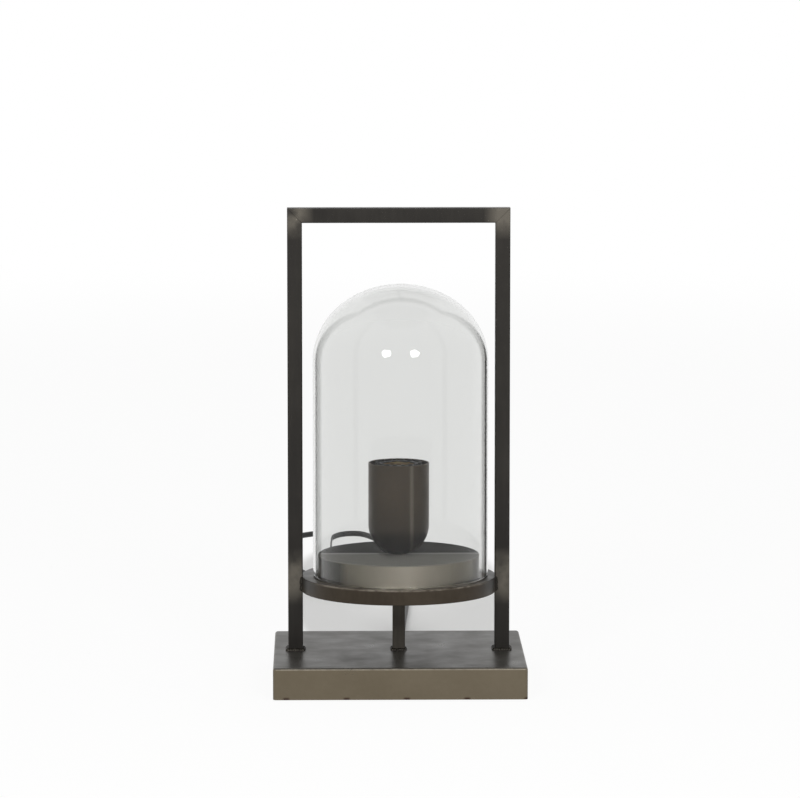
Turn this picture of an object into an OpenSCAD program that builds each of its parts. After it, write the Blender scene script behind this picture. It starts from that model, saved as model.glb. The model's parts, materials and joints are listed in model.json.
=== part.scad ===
// Lantern table lamp.
// A low folded steel box carries an open frame of square tube. A round tray is let in
// between the posts, and on it stand a low drum and a bullet cup with a screw lampholder.
// A clear glass dome stands on the tray round the drum, and lifts off. The mains lead
// leaves the back of the base, runs through a rocker switch and ends coiled at its plug.
// Millimetres, +Z up, -Y is the front, origin on the table under the middle of the base.

/* [Base] */
// Width of the base, across the front
base_w = 210; // [190:1:280]
// Depth of the base, front to back
base_d = 180; // [150:1:260]
// Height of the folded base box
base_h = 26.4; // [25:0.2:40]
// Thickness of the sheet that the base is folded from
base_wall = 1.5; // [1:0.1:1.8]
// Radius of the upright corners of the base
base_corner_r = 3; // [2.5:0.5:8]
// Rounding of the top edges of the base
base_edge_r = 2; // [1.6:0.2:2.4]
// Thickness of the felt feet
foot_h = 2.3; // [1.8:0.1:5]
// Diameter of the felt feet
foot_d = 18; // [10:1:26]
// Distance from the sides of the base to the middle of a foot
foot_inset = 30; // [24:1:40]
// Depth of the bottom pan inside the lower rim of the base
pan_recess = 1.5; // [0:0.1:1.6]
// Thickness of the bottom pan
pan_t = 1.5; // [1.5:0.1:2.5]
// Gap all round the bottom pan
pan_gap = 0.3; // [0.1:0.1:1]
// Diameter of the threaded pillars that the pan is screwed to
pillar_d = 9; // [7:0.5:12]
// Distance from the sides of the base to the middle of a pillar
pillar_inset = 10; // [9:0.5:14]
// Thread diameter of the pan screws
pan_screw_d = 4; // [3:0.5:5]
// Head diameter of the pan screws
pan_screw_head_d = 6.8; // [6:0.2:6.8]
// Length of the pan screws
pan_screw_l = 12; // [8:1:18]

/* [Frame] */
// Distance from the side of the base to the outer face of a post
frame_inset = 12; // [4:1:24]
// Height of the frame above the base
frame_h = 372.8; // [340:0.2:460]
// Side of the square tube
tube = 12.4; // [10:0.2:16]
// Wall of the square tube
tube_wall = 1.2; // [0.8:0.1:2]
// Radius of the weld beads
weld_r = 2; // [1:0.1:3]

/* [Tray and drum] */
// Clear height between the base and the tray
tray_lift = 50.6; // [30:0.2:80]
// Height of the rim of the tray
tray_h = 12.7; // [8:0.1:20]
// Thickness of the rim of the tray
tray_rim = 2; // [1.5:0.1:3]
// Thickness of the top sheet of the tray
tray_top_t = 1.5; // [1:0.1:2.5]
// How deep the posts are let into the edge of the tray
tray_bite = 1.2; // [0.4:0.1:1.4]
// Side of the square stem under the tray
stem = 10.5; // [10:0.1:14]
// Wall of the stem
stem_wall = 1.2; // [0.8:0.1:1.4]
// Height of the drum that centres the glass
drum_h = 18.6; // [16:0.2:30]
// Thickness of the sheet of the drum
drum_wall = 1.5; // [1:0.1:2.5]
// Gap between the drum and the glass round it
drum_gap = 3.3; // [1.8:0.1:6]

/* [Glass] */
// Gap between the glass and the posts
glass_gap = 7.1; // [4:0.1:12]
// Thickness of the glass
glass_wall = 2.5; // [2:0.1:4]
// Free height over the glass, under the top bar
glass_headroom = 51.6; // [30:0.2:90]
// Distance from the axis to the centre of the shoulder curve
crown_inset = 15.5; // [8:0.5:30]
// How far the centre of the crown curve lies below that of the shoulder curve
crown_drop = 17; // [5:0.5:40]
// How far the glass stands to the right on the tray
glass_shift = 1.5; // [0:0.1:1.6]

/* [Lampholder] */
// Height of the bullet cup
cup_h = 77; // [70:0.5:100]
// Thickness of the cup
cup_wall = 1.2; // [0.8:0.1:1.4]
// Height by which the round bottom of the cup is flattened
cup_flat = 1; // [0.8:0.1:1.6]
// Outer diameter of the lampholder
holder_d = 39.5; // [38:0.5:44]
// Gap between the lampholder and the cup
holder_gap = 4.55; // [2.5:0.05:8]
// Height of the lampholder above the rim of the cup
holder_proud = 0.5; // [0:0.1:3]
// Height of the shade ring of the lampholder
ring_h = 34.6; // [34.6:0.2:38]
// Height of the lower cap of the lampholder
cap_h = 26; // [25:0.5:28]
// Diameter of the lower cap of the lampholder
cap_d = 38; // [37:0.5:41]
// Inside diameter of the screw shell that takes the bulb
shell_bore = 26.6; // [26.4:0.1:27]
// Wall of the screw shell
shell_wall = 0.7; // [0.4:0.1:1]
// Length of the screw shell
shell_l = 19.1; // [16:0.1:19.1]
// Diameter of the ceramic block in the lampholder
block_d = 33.6; // [32:0.1:34]
// Number of notches round the top of the lampholder
crown_notches = 18; // [12:2:24]
// Diameter of the threaded tube
nipple_d = 10; // [9:0.5:10]
// Bore of the threaded tube
nipple_bore = 7.6; // [7:0.1:8]
// Width across the flats of the nuts
nut_af = 14; // [12:0.5:16]
// Height of the nut welded to the tray
tray_nut_h = 10; // [6:0.5:14]
// Height of the nut in the cup
cup_nut_h = 3; // [2:0.5:4]
// Diameter of the washer in the cup
washer_d = 13; // [12:0.5:13.5]
// Thickness of the washer in the cup
washer_t = 1; // [0.6:0.1:1.6]

/* [Wiring in the lamp] */
// Diameter of one insulated conductor
wire_d = 2.2; // [1.6:0.1:2.2]
// Distance between the two conductors, middle to middle
wire_pitch = 2.7; // [2.5:0.1:2.9]
// Bend radius of the conductors under the stem
wire_bend = 11; // [9:0.5:12]
// Outer diameter of the glass-fibre sleeve
sleeve_d = 6.6; // [6.4:0.1:6.8]
// Wall of the sleeve
sleeve_wall = 0.4; // [0.3:0.1:0.5]
// Height of the lead above the lower rim of the base
lead_h = 9.2; // [8.8:0.2:12]
// Thickness of the tab that the lead is tied to
tab_t = 2; // [1:0.5:3]
// Width of the tab
tab_w = 18; // [12:1:30]
// Distance from the back wall to the tab
tab_inset = 26; // [20:1:40]
// Width of the cable tie
cable_tie_w = 3; // [2:0.5:5]
// Length of bare sheath past the cable tie
sheath_l = 11; // [6:1:20]

/* [Mains lead] */
// Diameter of the mains lead
cord_d = 5.6; // [5:0.1:5.7]
// Length of each strain relief past its housing
relief_l = 26; // [20:1:34]
// Outer diameter of a strain relief at its housing
relief_d = 9.6; // [9:0.2:11]
// Outer diameter of a strain relief at its tip
relief_tip_d = 7.2; // [6.8:0.1:8]
// Diameter of the flanges of a strain relief
flange_d = 12; // [11:0.2:12.4]
// Thickness of the flanges of a strain relief
flange_t = 2; // [1:0.5:3]
// Number of ribs on a strain relief
relief_ribs = 5; // [3:1:8]
// Distance from one turn of the coil to the next
coil_pitch = 6.2; // [6.2:0.1:7]
// Thickness of the straps round the coil
strap_t = 0.8; // [0.5:0.1:1.2]
// Width of the straps round the coil
strap_w = 6; // [4:0.5:7]
// Gap between the straps and the coil
strap_gap = 0.3; // [0.2:0.1:0.5]

/* [Switch on the lead] */
// Width of the switch
switch_w = 28; // [26:1:34]
// Length of the switch
switch_l = 66; // [62:1:76]
// Height of the switch
switch_h = 17; // [16.4:0.2:18]
// Height at which the two shells of the switch meet
switch_split = 8; // [7:0.5:9]
// Wall of the switch shells
switch_wall = 1.8; // [1.2:0.1:2.2]
// Corner radius of the switch
switch_r = 7; // [4:0.5:10]
// Width of the rocker
rocker_w = 14; // [12:0.5:15]
// Radius of the rocker about its pin
rocker_r = 11.5; // [10:0.5:12]
// Height of the rocker's pin above the table
rocker_pin_h = 12.2; // [11.8:0.1:12.6]
// Diameter of the rocker's pin
rocker_pin_d = 2; // [1.5:0.1:2.4]
// Tilt of the rocker to each side, in degrees
rocker_tilt = 7; // [4:0.5:9]

/* [Plug] */
// Width of the plug
plug_w = 35.3; // [32:0.1:38]
// Thickness of the plug
plug_t = 13.7; // [13:0.1:15]
// Length of the body of the plug
plug_l = 32; // [26:1:40]
// Distance between the plug's pins
pin_pitch = 18.6; // [17.5:0.1:19.2]
// Diameter of the plug's pins
pin_d = 4; // [3.8:0.1:4.8]
// Length of the plug's pins
pin_l = 19; // [17:0.5:20]
// Length of the insulated part of the pins
pin_sleeve_l = 10; // [8:0.5:11]

/* [Hidden] */
$fn = 96;
// Clearances between pieces that are screwed, pushed or turned together
thread_gap = 0.05;
slip_gap = 0.1;
pivot_gap = 0.05;
cut = 1;  // how far a cutting shape runs past the face that it cuts

// Heights, from the table up
base_z = foot_h - pan_recess;
base_top = base_z + base_h;
base_ceiling = base_top - base_wall;
pan_top = foot_h + pan_t;
frame_top = base_top + frame_h;
bar_z = frame_top - tube;
tray_z = base_top + tray_lift;
tray_top = tray_z + tray_h;
tray_ceiling = tray_top - tray_top_t;
drum_top = tray_top + drum_h;
cup_top = drum_top + cup_h;
holder_top = cup_top + holder_proud;
ring_z = holder_top - ring_h;
cap_z = ring_z - cap_h;
lead_z = base_z + lead_h;

// Frame, tray, drum and glass, outwards from the middle
post_out = base_w / 2 - frame_inset;
post_in = post_out - tube;
tray_r = post_in + tray_bite;
glass_r = post_in - glass_gap;
glass_h = bar_z - tray_top - glass_headroom;
drum_r = glass_r - glass_wall - drum_gap;
wire_hole_d = sleeve_d + 0.6;

// Crown of the glass: a shoulder arc that runs into a flatter crown arc
shoulder_r = glass_r - crown_inset;
crown_r = shoulder_r + norm([crown_inset, crown_drop]);
shoulder_h = glass_h - (crown_r - crown_drop);

// Bullet cup and what it holds
cup_r = holder_d / 2 + holder_gap + cup_wall;
cup_centre = drum_top + cup_r - cup_flat;
cup_floor = drum_top + cup_wall;
nut_top = cup_floor + washer_t + cup_nut_h;
nipple_z = tray_top + 2;
cap_neck = 10;                        // threaded neck at the bottom of the lower cap
cap_neck_d = nipple_d + 10;
cap_cone = 4;                         // height of the cone over the neck
nipple_top = cap_z + cap_neck - 0.5;
wire_room_d = 28;                     // wiring space under the ceramic block
lip_t = 2;                            // top of the ring, over the screw shell
notch_r = 2.2;
notch_depth = 1.5;
lip_d = shell_bore + 0.6;
shell_z = holder_top - lip_t - shell_l;
shell_d = shell_bore + 2 * shell_wall;
block_z = cap_z + cap_neck + cap_cone + 5;
block_well = 5.5;                     // depth of the well for the centre contact
block_well_d = 20;
well_z = shell_z - block_well;

// Terminals in the ceramic block
terminal = [5, 7, 8];
terminal_x = 5;

// Strain reliefs
neck_d = relief_d - 0.8;
cord_r = cord_d / 2;

// Routes of the lead: [x, y, height of the lead above lying on the table].
// They were chosen by hand along the stretches that can be seen.
exit_h = lead_z - cord_r;
switch_in_h = switch_split - cord_r;
plug_in_h = plug_t / 2 - cord_r;
lead_route = [
    [0, 118, exit_h], [0, 125, exit_h], [0.3, 135, exit_h * 0.87], [0.8, 147, exit_h * 0.58],
    [1.6, 159, exit_h * 0.26], [2.7, 171, exit_h * 0.06], [4, 184, 0], [5.6, 210, 0],
    [7.3, 241, 0], [9.1, 283, 0], [10.9, 321, 0], [12.5, 359, 0], [13.2, 385, 0],
    [13.1, 410, 0], [12.7, 435, 0], [12.5, 455, 0], [12.5, 468, switch_in_h * 0.13],
    [12.5, 482, switch_in_h * 0.56], [12.5, 493, switch_in_h * 0.9], [12.5, 500, switch_in_h],
    [12.5, 506, switch_in_h]
];
sweep_route = [
    [12.5, 624, switch_in_h], [12.5, 630, switch_in_h], [12.4, 638, switch_in_h * 0.87],
    [12, 650, switch_in_h * 0.44], [11.2, 663, switch_in_h * 0.1], [10, 677, 0], [7.5, 697, 0],
    [3.6, 717.5, 0], [-1.6, 738, 0], [-8, 757, 0], [-15.5, 773.5, 0], [-22, 786.5, 0],
    [-27.6, 797, 0], [-32.9, 804, 0], [-40.4, 809, 0], [-49, 810.5, 0], [-59.4, 809, 0],
    [-69, 805, 0], [-77.8, 798.3, 0], [-86.5, 789.3, 0], [-90.2, 784.4, 0], [-92.6, 778.4, 0],
    [-93.5, 771.5, 0], [-93.7, 755, 0], [-93.4, 730, 0], [-92.8, 700, 0], [-92.2, 665, 0],
    [-91.6, 630, 0], [-91, 592, 0], [-89.7, 577, 0], [-86, 562, 0], [-80.7, 547, 0],
    [-75, 532, 0], [-70.1, 517, 0], [-67.4, 504, 0], [-66.5, 492, 0], [-66.5, 475, 0.6],
    [-66.5, 459, strap_t + strap_gap],
    [-66.5, 451, strap_t + strap_gap]
];
tail_route = [
    [2.5, 451, coil_pitch + strap_t + strap_gap], [2.5, 458, coil_pitch + strap_t + strap_gap],
    [1.4, 467, 5.8], [-2.1, 476.5, 3.8], [-7.3, 484.5, 2],
    [-14.2, 491, 1], [-21.2, 497.5, 0.9], [-26.4, 505, 1.7], [-29.9, 514, 3.2],
    [-31, 519, plug_in_h], [-31, 524, plug_in_h]
];
function lying(route, shift) = [for (p = route) [p.x, p.y + shift, p.z + cord_r]];
lead_shift = base_d / 2 + flange_t + relief_l - 118;
sweep_shift = lead_shift + switch_l + 2 * relief_l - 118;

// Coil of the spare lead: it spirals in, climbs a layer where it reverses, and spirals out
coil_centre = [-32, 445 + sweep_shift];
coil_out_r = 34.5;                    // outermost turn, at the middle of the lead
coil_turns = 3.5;
coil_end_l = 6;                       // straight end of the coil
coil_low = strap_t + strap_gap + cord_r;
coil_mid = 180 * coil_turns;
coil_in_r = coil_out_r - coil_pitch * coil_turns / 2;
function coil_climb(a) = min(1, max(0, (a - coil_mid + 90) / 180));
function coil_point(a) =
    let (r = coil_in_r + coil_pitch * abs(a - coil_mid) / 360)
    [coil_centre.x + r * cos(a + 180),
     coil_centre.y + r * sin(a + 180),
     coil_low + coil_pitch * coil_climb(a)];
coil_turned = [for (a = [0 : 15 : 360 * coil_turns]) coil_point(a)];
coil_route = concat(
    [coil_turned[0] + [0, coil_end_l, 0]],
    coil_turned,
    [coil_turned[len(coil_turned) - 1] + [0, coil_end_l, 0]]
);
half_turn = 12;                       // points in half a turn
echo(least_gap_in_coil = min([
    for (i = [0 : len(coil_turned) - 1 - half_turn], j = [i + half_turn : len(coil_turned) - 1])
        norm(coil_turned[i] - coil_turned[j])
]) - cord_d);

// Places of the switch and the plug on the lead
switch_place = [12.5, 506 + lead_shift + relief_l + switch_l / 2, 0];
rocker_window = 2 * (rocker_r + 0.2);
plug_place = [-31, 524 + sweep_shift + relief_l, plug_t / 2];

// ---- shapes that repeat ----

module rounded_rect(w, d, r) {
    square([w - 2 * r, d], center = true);
    square([w, d - 2 * r], center = true);
    for (x = [-1, 1], y = [-1, 1])
        translate([x * (w / 2 - r), y * (d / 2 - r)]) circle(r);
}

// An outline that stands on its lower edge, with its two upper corners rounded
module round_topped(w, h, r) {
    translate([-w / 2, 0]) square([w, h - r]);
    translate([r - w / 2, 0]) square([w - 2 * r, h]);
    for (x = [-1, 1]) translate([x * (w / 2 - r), h - r]) circle(r);
}

module along_y(place) {
    translate(place) rotate([-90, 0, 0]) children();
}

module in_corners(w, d, inset) {
    for (x = [-1, 1], y = [-1, 1])
        translate([x * (w / 2 - inset), y * (d / 2 - inset), 0]) children();
}

module pipe(d, bore, h) {
    difference() {
        cylinder(d = d, h = h);
        translate([0, 0, -cut]) cylinder(d = bore, h = h + 2 * cut);
    }
}

module hex_nut(af, bore, h) {
    difference() {
        cylinder(d = af / cos(30), h = h, $fn = 6);
        translate([0, 0, -cut]) cylinder(d = bore, h = h + 2 * cut);
    }
}

// A bead laid round the foot of a square tube, standing on z = 0
module weld_ring(side, r) {
    difference() {
        union() {
            for (a = [0, 90, 180, 270]) rotate(a) translate([side / 2, 0, 0]) {
                rotate([90, 0, 0]) cylinder(r = r, h = side, center = true, $fn = 32);
                translate([0, side / 2, 0]) sphere(r, $fn = 32);
            }
        }
        cube([side, side, 4 * r], center = true);
        translate([0, 0, -2 * r]) cube([2 * side, 2 * side, 4 * r], center = true);
    }
}

function unit(v) = v / norm(v);
function heading(p, i) = unit(p[min(i + 1, len(p) - 1)] - p[max(i - 1, 0)]);
function tube_ring(p, i, r, sides, up) =
    let (t = heading(p, i), s = unit(cross(t, up)), u = cross(s, t))
    [for (k = [0 : sides - 1])
        let (a = 360 * (k + 0.5) / sides) p[i] + r * (cos(a) * s + sin(a) * u)];

// A tube swept along the points of a route
module swept_tube(p, r, sides, up = [0, 0, 1]) {
    rings = len(p);
    corners = [for (i = [0 : rings - 1]) each tube_ring(p, i, r, sides, up)];
    skin = [for (i = [0 : rings - 2], k = [0 : sides - 1])
        let (a = i * sides + k, b = i * sides + (k + 1) % sides)
        each [[a, b, b + sides], [a, b + sides, a + sides]]];
    start_face = [for (k = [sides - 1 : -1 : 0]) k];
    end_face = [for (k = [0 : sides - 1]) (rings - 1) * sides + k];
    polyhedron(corners, concat(skin, [start_face, end_face]));
}

// The tapered, ribbed sleeve of a strain relief, from z = 0 to its tip
module relief_taper() {
    cylinder(d1 = relief_d - 1.6, d2 = relief_tip_d - 0.6, h = relief_l);
    for (i = [0 : relief_ribs - 1]) {
        share = i / relief_ribs;
        translate([0, 0, share * relief_l])
            cylinder(d = relief_d + share * (relief_tip_d - relief_d), h = relief_l / relief_ribs * 0.6);
    }
}

// ---- base ----

module base_shell() color("#6b655b") difference() {
    translate([0, 0, base_z]) intersection() {
        linear_extrude(base_h) rounded_rect(base_w, base_d, base_corner_r);
        rotate([90, 0, 0]) linear_extrude(base_d + cut, center = true)
            round_topped(base_w, base_h, base_edge_r);
        rotate([90, 0, 90]) linear_extrude(base_w + cut, center = true)
            round_topped(base_d, base_h, base_edge_r);
    }
    translate([0, 0, base_z - cut]) linear_extrude(base_h - base_wall + cut)
        rounded_rect(base_w - 2 * base_wall, base_d - 2 * base_wall, base_corner_r - base_wall / 2);
    translate([0, 0, base_ceiling - cut]) cylinder(d = wire_hole_d, h = base_wall + 2 * cut);
    along_y([0, base_d / 2 - base_wall - cut, lead_z])
        cylinder(d = neck_d + 2 * slip_gap, h = base_wall + 2 * cut);
}

module base_pan() color("#4a4741") difference() {
    margin = 2 * (base_wall + pan_gap);
    translate([0, 0, foot_h]) linear_extrude(pan_t)
        rounded_rect(base_w - margin, base_d - margin, base_corner_r - base_wall / 2);
    in_corners(base_w, base_d, pillar_inset) {
        translate([0, 0, foot_h - cut]) cylinder(d = pan_screw_d + 0.4, h = pan_t + 2 * cut);
        translate([0, 0, foot_h])
            cylinder(d1 = pan_screw_head_d + 0.2, d2 = pan_screw_d + 0.2, h = (pan_screw_head_d - pan_screw_d) / 2);
    }
}

module base_pillars() color("#5a5751") in_corners(base_w, base_d, pillar_inset)
    translate([0, 0, pan_top]) difference() {
        cylinder(d = pillar_d, h = base_ceiling - pan_top);
        translate([0, 0, -cut])
            cylinder(d = pan_screw_d + 2 * thread_gap, h = pan_screw_l - pan_t + 0.5 + cut);
    }

module pan_screws() color("#8d8a84") in_corners(base_w, base_d, pillar_inset)
    translate([0, 0, foot_h]) difference() {
        union() {
            cylinder(d1 = pan_screw_head_d, d2 = pan_screw_d, h = (pan_screw_head_d - pan_screw_d) / 2);
            cylinder(d = pan_screw_d, h = pan_screw_l);
        }
        for (a = [0, 90]) rotate(a) cube([pan_screw_head_d * 0.6, 0.9, 1.6], center = true);
    }

module felt_feet() color("#26241f") in_corners(base_w, base_d, foot_inset) cylinder(d = foot_d, h = foot_h);

// ---- frame ----

module square_tube_part(outline) rotate([90, 0, 0]) linear_extrude(tube, center = true) polygon(outline);

module post(side) color("#3f3c38") difference() {
    square_tube_part([
        [side * post_out, base_top], [side * post_in, base_top],
        [side * post_in, bar_z], [side * post_out, frame_top]
    ]);
    bore = tube - 2 * tube_wall;
    translate([side * (post_out - tube / 2), 0, (base_top + frame_top) / 2])
        cube([bore, bore, frame_h - 2 * tube_wall], center = true);
    translate([side * (post_out - tube / 2), 0, base_top])
        cube([bore, bore, 4 * tube_wall], center = true);
}

module left_post() post(-1);
module right_post() post(1);

module top_bar() color("#4b4843") difference() {
    square_tube_part([
        [-post_out, frame_top], [-post_in, bar_z], [post_in, bar_z], [post_out, frame_top]
    ]);
    translate([0, 0, bar_z + tube / 2])
        cube([2 * (post_out - tube_wall), tube - 2 * tube_wall, tube - 2 * tube_wall], center = true);
}

module post_welds() color("#57534c") for (x = [-1, 1])
    translate([x * (post_out - tube / 2), 0, base_top]) weld_ring(tube, weld_r);

// ---- tray, stem and drum ----

module tray_stem() color("#2f2d29") translate([0, 0, base_top]) difference() {
    height = tray_ceiling - base_top;
    translate([0, 0, height / 2]) cube([stem, stem, height], center = true);
    bore = stem - 2 * stem_wall;
    translate([0, 0, height / 2]) cube([bore, bore, height + 2 * cut], center = true);
}

module stem_welds() color("#2f2d29") {
    translate([0, 0, base_top]) weld_ring(stem, weld_r);
    translate([0, 0, tray_ceiling]) mirror([0, 0, 1]) weld_ring(stem, weld_r);
}

module glass_tray() color("#3a3833") translate([0, 0, tray_z]) difference() {
    cylinder(r = tray_r, h = tray_h, $fn = 360);
    translate([0, 0, -cut]) cylinder(r = tray_r - tray_rim, h = tray_h - tray_top_t + cut);
    translate([0, 0, -cut]) cylinder(d = wire_hole_d, h = tray_h + 2 * cut);
    for (x = [-1, 1]) translate([x * (post_in + tube / 2), 0, tray_h / 2])
        cube([tube, tube, tray_h + 2 * cut], center = true);
}

// Short beads where the rim of the tray meets the front and the back of each post
module tray_welds() color("#57534c") difference() {
    edge_x = sqrt(tray_r * tray_r - tube * tube / 4);
    for (x = [-1, 1], y = [-1, 1]) translate([x * edge_x, y * tube / 2, tray_z])
        cylinder(r = weld_r, h = tray_h, $fn = 32);
    translate([0, 0, tray_z - cut]) cylinder(r = tray_r, h = tray_h + 2 * cut, $fn = 360);
    for (x = [-1, 1]) translate([x * (post_in + tube / 2), 0, tray_z + tray_h / 2])
        cube([tube, tube, tray_h + 2 * cut], center = true);
}

module glass_drum() color("#7d7970") translate([0, 0, tray_top]) difference() {
    cylinder(r = drum_r, h = drum_h);
    translate([0, 0, -cut]) cylinder(r = drum_r - drum_wall, h = drum_h - drum_wall + cut);
    translate([0, 0, drum_h - drum_wall - cut])
        cylinder(d = nipple_d + 2 * slip_gap, h = drum_wall + 2 * cut);
}

// ---- threaded tube and bullet cup ----

module tray_nut() color("#b9975b") translate([0, 0, tray_top])
    hex_nut(nut_af, nipple_d + 2 * thread_gap, tray_nut_h);

module threaded_tube() color("#b9975b") translate([0, 0, nipple_z])
    pipe(nipple_d, nipple_bore, nipple_top - nipple_z);

// Half section of the cup: a round with its bottom cut flat, and straight sides above it
module cup_section(r, bottom, top) intersection() {
    union() {
        translate([0, cup_centre]) circle(r);
        translate([0, cup_centre]) square([r, top - cup_centre]);
    }
    translate([0, bottom]) square([r + cut, top - bottom]);
}

module holder_cup() color("#57514a") rotate_extrude() difference() {
    cup_section(cup_r, drum_top, cup_top);
    cup_section(cup_r - cup_wall, cup_floor, cup_top + cut);
    translate([0, drum_top - cut]) square([nipple_d / 2 + slip_gap, cup_wall + 2 * cut]);
}

module cup_washer() color("#9a978f") translate([0, 0, cup_floor])
    pipe(washer_d, nipple_d + 2 * slip_gap, washer_t);

module cup_nut() color("#b9975b") translate([0, 0, cup_floor + washer_t])
    hex_nut(nut_af, nipple_d + 2 * thread_gap, cup_nut_h);

// ---- lampholder ----

module holder_cap() color("#1d1c1b") translate([0, 0, cap_z]) difference() {
    union() {
        cylinder(d = cap_neck_d, h = cap_neck);
        translate([0, 0, cap_neck - 2]) cylinder(d1 = cap_neck_d, d2 = cap_d, h = cap_cone + 2);
        translate([0, 0, cap_neck + cap_cone]) cylinder(d = cap_d, h = cap_h - cap_neck - cap_cone);
    }
    translate([0, 0, -cut]) cylinder(d = nipple_d + 2 * thread_gap, h = cap_neck + 2 * cut);
    translate([0, 0, cap_neck]) cylinder(d1 = cap_neck_d - 4, d2 = wire_room_d, h = cap_cone);
    translate([0, 0, cap_neck + cap_cone]) cylinder(d = wire_room_d, h = cap_h);
    translate([0, 0, block_z - cap_z]) cylinder(d = block_d + 4 * slip_gap, h = cap_h);
}

module contact_block() color("#e6e2d8") difference() {
    translate([0, 0, block_z]) cylinder(d = block_d, h = shell_z - block_z);
    translate([0, 0, well_z]) cylinder(d = block_well_d, h = block_well + cut);
    translate([0, 0, block_z - cut]) cylinder(d = 3 + 2 * slip_gap, h = shell_z - block_z);
    for (x = [-1, 1]) translate([x * terminal_x, 0, block_z + (terminal.z + slip_gap) / 2 - cut / 2])
        cube([terminal.x + 2 * slip_gap, terminal.y + 2 * slip_gap, terminal.z + slip_gap + cut], center = true);
}

module terminals() color("#b9975b") for (x = [-1, 1])
    translate([x * terminal_x, 0, block_z]) difference() {
        translate([0, 0, terminal.z / 2]) cube(terminal, center = true);
        translate([0, 0, -cut]) cylinder(d = wire_d + 2 * slip_gap, h = terminal.z - 2 + cut, $fn = 32);
        along_y([0, -terminal.y / 2 - cut, 3]) cylinder(d = 2.5 + 2 * thread_gap, h = 3 + cut, $fn = 32);
    }

module terminal_screws() color("#8d8a84") for (x = [-1, 1])
    along_y([x * terminal_x, -terminal.y / 2, block_z + 3]) cylinder(d = 2.5, h = 1.9, $fn = 32);

module centre_contact() color("#c9a868") {
    strip = 0.6;
    translate([0, 0, well_z - 9]) cylinder(d = 3, h = 9, $fn = 32);
    translate([-3, -6, well_z]) cube([6, 12, strip]);
    translate([-3, 6 - strip, well_z]) cube([6, strip, 4]);
    translate([-3, -3, well_z + 4 - strip]) cube([6, 9, strip]);
}

module screw_shell() color("#c4b27a") translate([0, 0, shell_z]) pipe(shell_d, shell_bore, shell_l);

module holder_ring() color("#1d1c1b") difference() {
    translate([0, 0, ring_z]) cylinder(d = holder_d, h = ring_h);
    translate([0, 0, ring_z - cut])
        cylinder(d = block_d + 4 * slip_gap, h = shell_z - ring_z + cut);
    translate([0, 0, shell_z]) cylinder(d = shell_d + 2 * slip_gap, h = shell_l);
    translate([0, 0, shell_z]) cylinder(d = lip_d, h = shell_l + lip_t + cut);
    translate([0, 0, holder_top - 1.2]) cylinder(d = holder_d - 5, h = 1.2 + cut);
    for (i = [0 : crown_notches - 1]) rotate(i * 360 / crown_notches)
        translate([0, 5 - holder_d / 2, holder_top + notch_r - notch_depth]) rotate([90, 0, 0])
            cylinder(r = notch_r, h = 8, $fn = 32);
}

// ---- glass ----

// Half section of a domed solid: straight side, shoulder arc and crown arc
module dome_section(grow) intersection() {
    union() {
        square([glass_r + grow, shoulder_h]);
        translate([crown_inset, shoulder_h]) intersection() {
            circle(shoulder_r + grow);
            square(2 * glass_r);
        }
        intersection() {
            translate([0, shoulder_h - crown_drop]) circle(crown_r + grow);
            polygon([
                [0, shoulder_h - crown_drop],
                [4 * glass_r * crown_inset / crown_drop, shoulder_h - crown_drop + 4 * glass_r],
                [0, shoulder_h + 8 * glass_r]
            ]);
        }
    }
    square([glass_r + grow + cut, glass_h + cut]);
}

module glass_dome() color("#dfe5e6", 0.35) translate([glass_shift, 0, tray_top])
    rotate_extrude($fn = 144) difference() {
        dome_section(0);
        dome_section(-glass_wall);
    }

// ---- wiring in the lamp ----

back_y = base_d / 2;
relief_start = back_y - base_wall - flange_t;
relief_end = back_y + flange_t + relief_l;
tab_y = back_y - base_wall - tab_inset;
tie_y = tab_y - cable_tie_w;
sheath_start = tie_y - sheath_l;

module cord_relief() color("#1a1a19") along_y([0, relief_start, lead_z]) difference() {
    union() {
        cylinder(d = flange_d, h = flange_t);
        cylinder(d = neck_d, h = 2 * flange_t + base_wall);
        translate([0, 0, flange_t + base_wall]) cylinder(d = flange_d, h = flange_t);
        translate([0, 0, 2 * flange_t + base_wall]) relief_taper();
    }
    translate([0, 0, -cut]) cylinder(d = cord_d + 2 * thread_gap, h = relief_end - relief_start + 2 * cut);
}

module lead_sheath() color("#1a1a19") along_y([0, sheath_start, lead_z])
    cylinder(d = cord_d, h = relief_end - sheath_start);

module cord_tab() color("#5a5751") difference() {
    translate([-tab_w / 2, tab_y, lead_z - 5]) cube([tab_w, tab_t, base_ceiling - lead_z + 5]);
    along_y([0, tab_y - cut, lead_z]) cylinder(d = cord_d + 4 * slip_gap, h = tab_t + 2 * cut);
}

module cable_tie() color("#2b2b2a") along_y([0, tie_y, lead_z]) {
    pipe(cord_d + 2.6, cord_d + 2 * thread_gap, cable_tie_w);
    translate([-2.5, -cord_r - 4.2, 0]) cube([5, 3, cable_tie_w]);
}

function wire_route(side) =
    let (x = side * wire_pitch / 2, spread = side * (terminal_x - wire_pitch / 2))
    concat(
        [[x, sheath_start, lead_z], [x, (sheath_start + wire_bend) / 2, lead_z]],
        [for (a = [0 : 15 : 90]) [x, wire_bend * (1 - sin(a)), lead_z + wire_bend * (1 - cos(a))]],
        [[x, 0, base_top + 10], [x, 0, tray_top], [x, 0, nipple_top]],
        [for (t = [0.25, 0.5, 0.75])
            [x + spread * (1 - cos(180 * t)) / 2, 0, nipple_top + t * (block_z - nipple_top)]],
        [[side * terminal_x, 0, block_z], [side * terminal_x, 0, block_z + terminal.z - 2.5]]
    );

module inner_wires() color("#6a4a35") for (side = [-1, 1])
    swept_tube(wire_route(side), wire_d / 2, 8, [1, 0, 0]);

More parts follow.
